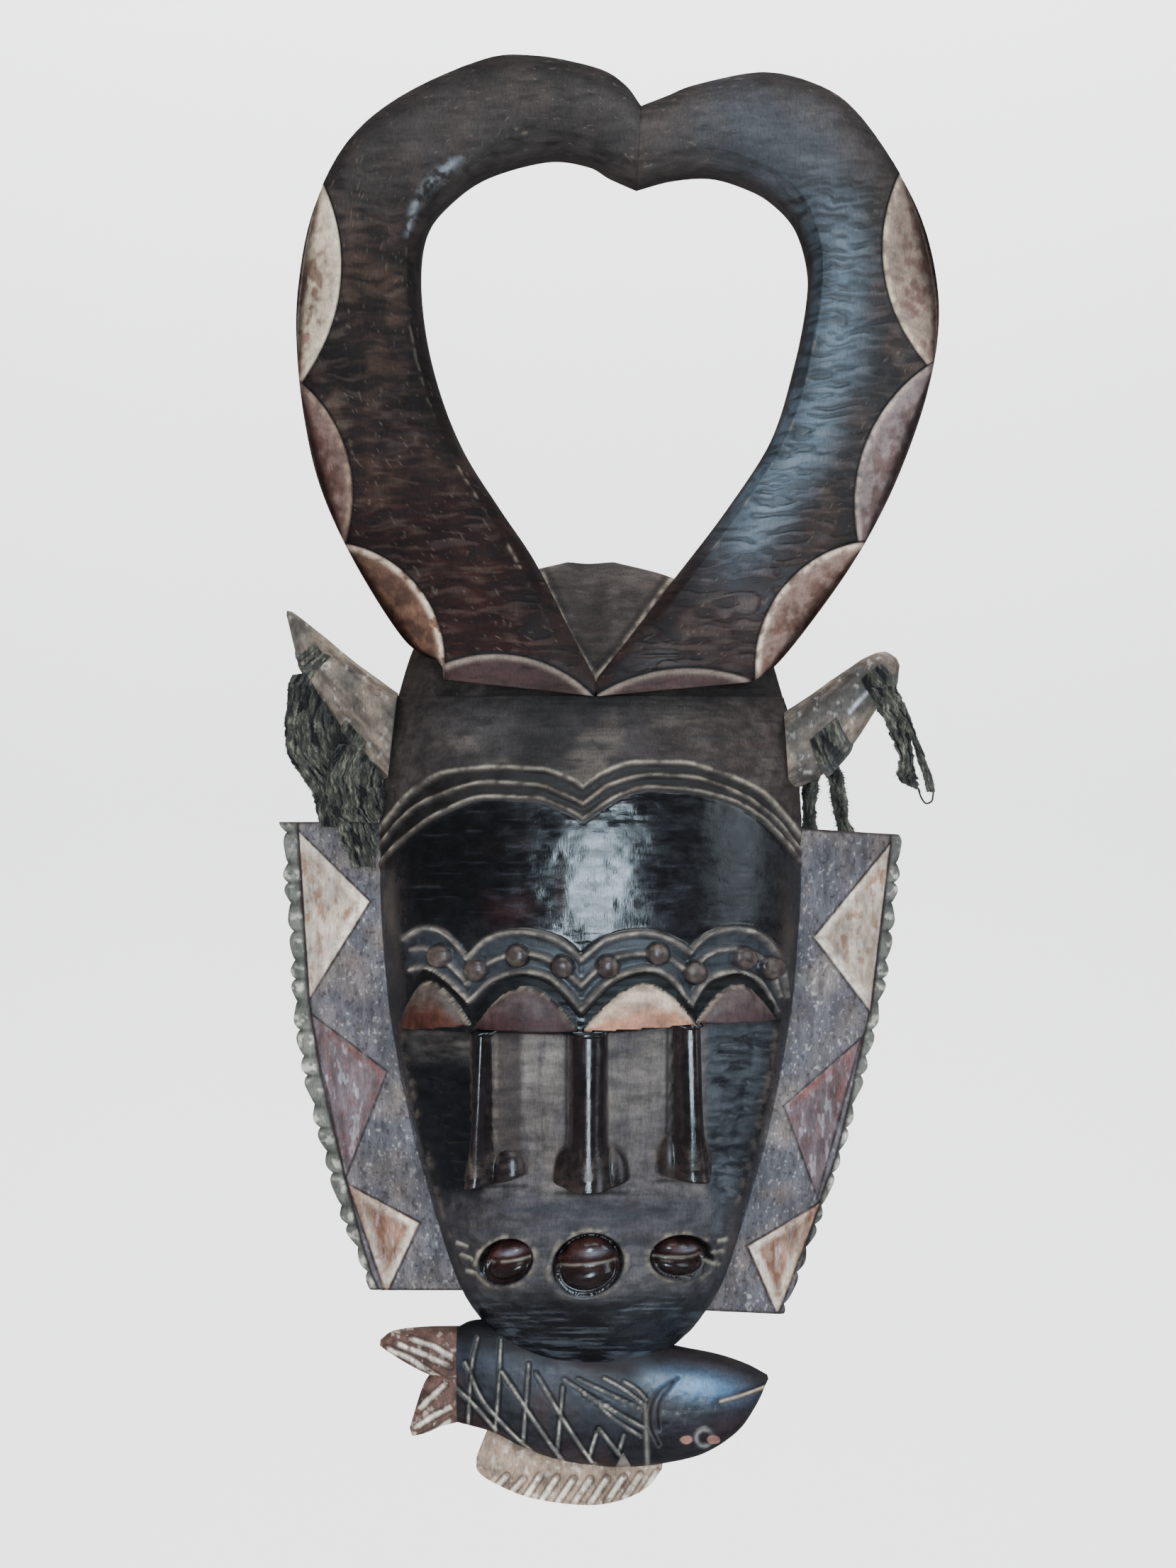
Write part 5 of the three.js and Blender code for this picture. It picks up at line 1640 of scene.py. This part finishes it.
def thin_tube(name, points, radius, body):
    """A single thread along a smooth line through the points."""
    rows, around = TUBE_MESH
    line = smooth_space(points, rows)
    along = np.gradient(line, axis=0)
    along /= np.linalg.norm(along, axis=1, keepdims=True)
    side = np.cross(along, [0, 1, 0])
    side /= np.linalg.norm(side, axis=1, keepdims=True)
    angle = np.linspace(0, 2 * np.pi, around, endpoint=False)[None, :, None]
    ring = radius * (np.cos(angle) * side[:, None, :] + np.sin(angle) * np.array([0.0, 1, 0]))
    paint = Paint(TUBE_MESH, CLOTH_PAINT * 0.6, 0.2)
    return ring_body(name, line[:, None, :] + ring, paint, "tie_cloth", [], body)


# Each wrap: its ear, its middle and width along it, its slope, its thickness, the angle it starts
# at and its seed. They all end at the same angle, behind the ear.
STRAP_END = -140
STRAPS = [
    ("left_tip_wrap", "ear_left", 0.74, 0.15, -0.05, 1.0, 122, 401),
    ("left_root_wrap", "ear_left", 0.30, 0.17, -0.05, 2.4, 58, 411),
    ("right_tip_wrap", "ear_right", 0.86, 0.21, -0.06, 2.4, 118, 421),
    ("right_root_wrap", "ear_right", 0.36, 0.24, -0.05, 2.6, 94, 431),
]
STRIPS = {
    "left_strip": {
        "left": [
            (-123, 45.5), (-124.9, 41), (-125.5, 33), (-126.3, 23), (-124.8, 12), (-120, 4), (-115, -4),
            (-112, -17.5),
        ],
        "right": [
            (-116.0, 46.8), (-111.0, 41), (-105.8, 31), (-99.5, 20), (-101, 9), (-104, 1), (-104, -7),
            (-102, -17.5),
        ],
        "y": [-34, -34.5, -35, -34.2, -30],
        "thick": 1.8, "seed": 501, "nodes": ["tie_left_strip"], "turn": 3.0, "shaded": 0.8,
    },
    "left_knot": {
        "left": [(-104.5, 17), (-108, 9), (-109.8, 2), (-108.5, -5), (-107.5, -11), (-105, -15)],
        "right": [(-95.5, 16), (-90.6, 10), (-86.6, 4), (-85.4, -3), (-85.8, -10), (-87.6, -16)],
        "y": [-35, -36, -36.6, -37.4, -37.6],
        "thick": 2.6, "seed": 521, "nodes": ["tie_left_knot"], "turn": 2.0, "ragged": 1.6, "shaded": 0.35,
    },
    "left_tail": {
        "left": [(-107, -9), (-105.4, -15), (-103.2, -22), (-100.6, -28), (-99, -34)],
        "right": [(-89.6, -9), (-89.0, -15), (-88.8, -22), (-88.8, -28), (-89.2, -34)],
        "y": [-36, -35, -33.5, -32],
        "thick": 1.8, "seed": 541, "body": "left_tail", "nodes": ["tie_left_tail"], "ragged": 1.4,
    },
    "right_tail": {
        "left": [
            (116.0, 40.0), (118.4, 31), (121.2, 26.5), (123.8, 20), (126.6, 14), (127.3, 9.7),
            (126.8, 5), (128.5, 1),
        ],
        "right": [
            (125.8, 41), (129.6, 32.6), (131.1, 25), (132.4, 19), (133.4, 12.5), (134, 7), (135.4, 2),
            (136.4, -2.5),
        ],
        "y": [-41, -40, -38, -36, -34],
        "thick": 1.9, "seed": 561, "body": "right_tip_tail", "nodes": ["tie_right_tip_tail"],
        "ragged": 1.6,
    },
    "right_tail_strand": {
        "left": [
            (126.0, 34), (129.2, 26.5), (131.3, 21.5), (133.3, 16.5), (135.4, 9.8), (137.9, 3),
            (139.4, -3),
        ],
        "right": [
            (129.8, 33.6), (132.4, 27), (134.9, 20.2), (137.0, 15.2), (139.2, 9.2), (141.6, 3),
            (142.8, -3),
        ],
        "y": [-40, -39, -37, -35, -33],
        "thick": 1.7, "seed": 581, "body": "right_tip_tail", "ragged": 0.7,
    },
}
TAIL_LOOP = [
    (135.8, -34, -1.5), (137, -33.5, -5.2), (139.3, -33, -7.8), (141.6, -33, -6.5), (142.2, -33, -2),
]
CORDS = [
    (
        "right_root_tail_inner",
        [(94.5, -14, 9), (93, -11.5, 3), (92.2, -8.5, -5), (92.3, -6.8, -15), (92.6, -6.6, -23)],
        601,
    ),
    (
        "right_root_tail_outer",
        [(101, -14, 9), (103, -11.5, 3), (104.6, -8.5, -5), (106.2, -6.8, -15), (108.6, -6.6, -23)],
        621,
    ),
]


def make_ties():
    for strap in STRAPS:
        make_strap(*strap)
    for name, held in (("left_strip", "hung"), ("left_knot", "gathered"), ("left_tail", "hung")):
        strip, fray, width, length = make_strip(name, **STRIPS[name])
    thick_strand, fray_a, width, length = make_strip("right_tail", **STRIPS["right_tail"])
    thin_strand, fray_b, _, _ = make_strip("right_tail_strand", **STRIPS["right_tail_strand"])
    loop = thin_tube("right_tail_loop", TAIL_LOOP, 0.4, "right_tip_tail")
    for cord in CORDS:
        make_tail_cord(*cord)


# ------------------------------------------------------------------ build
make_stage()
make_lights()
make_face()
make_crown()
for horn in HORNS:
    make_horn(horn)
for wing in WINGS:
    make_wing(wing)
for ear in EARS:
    make_ear(ear)
make_fish_body()
make_fins()
make_ties()
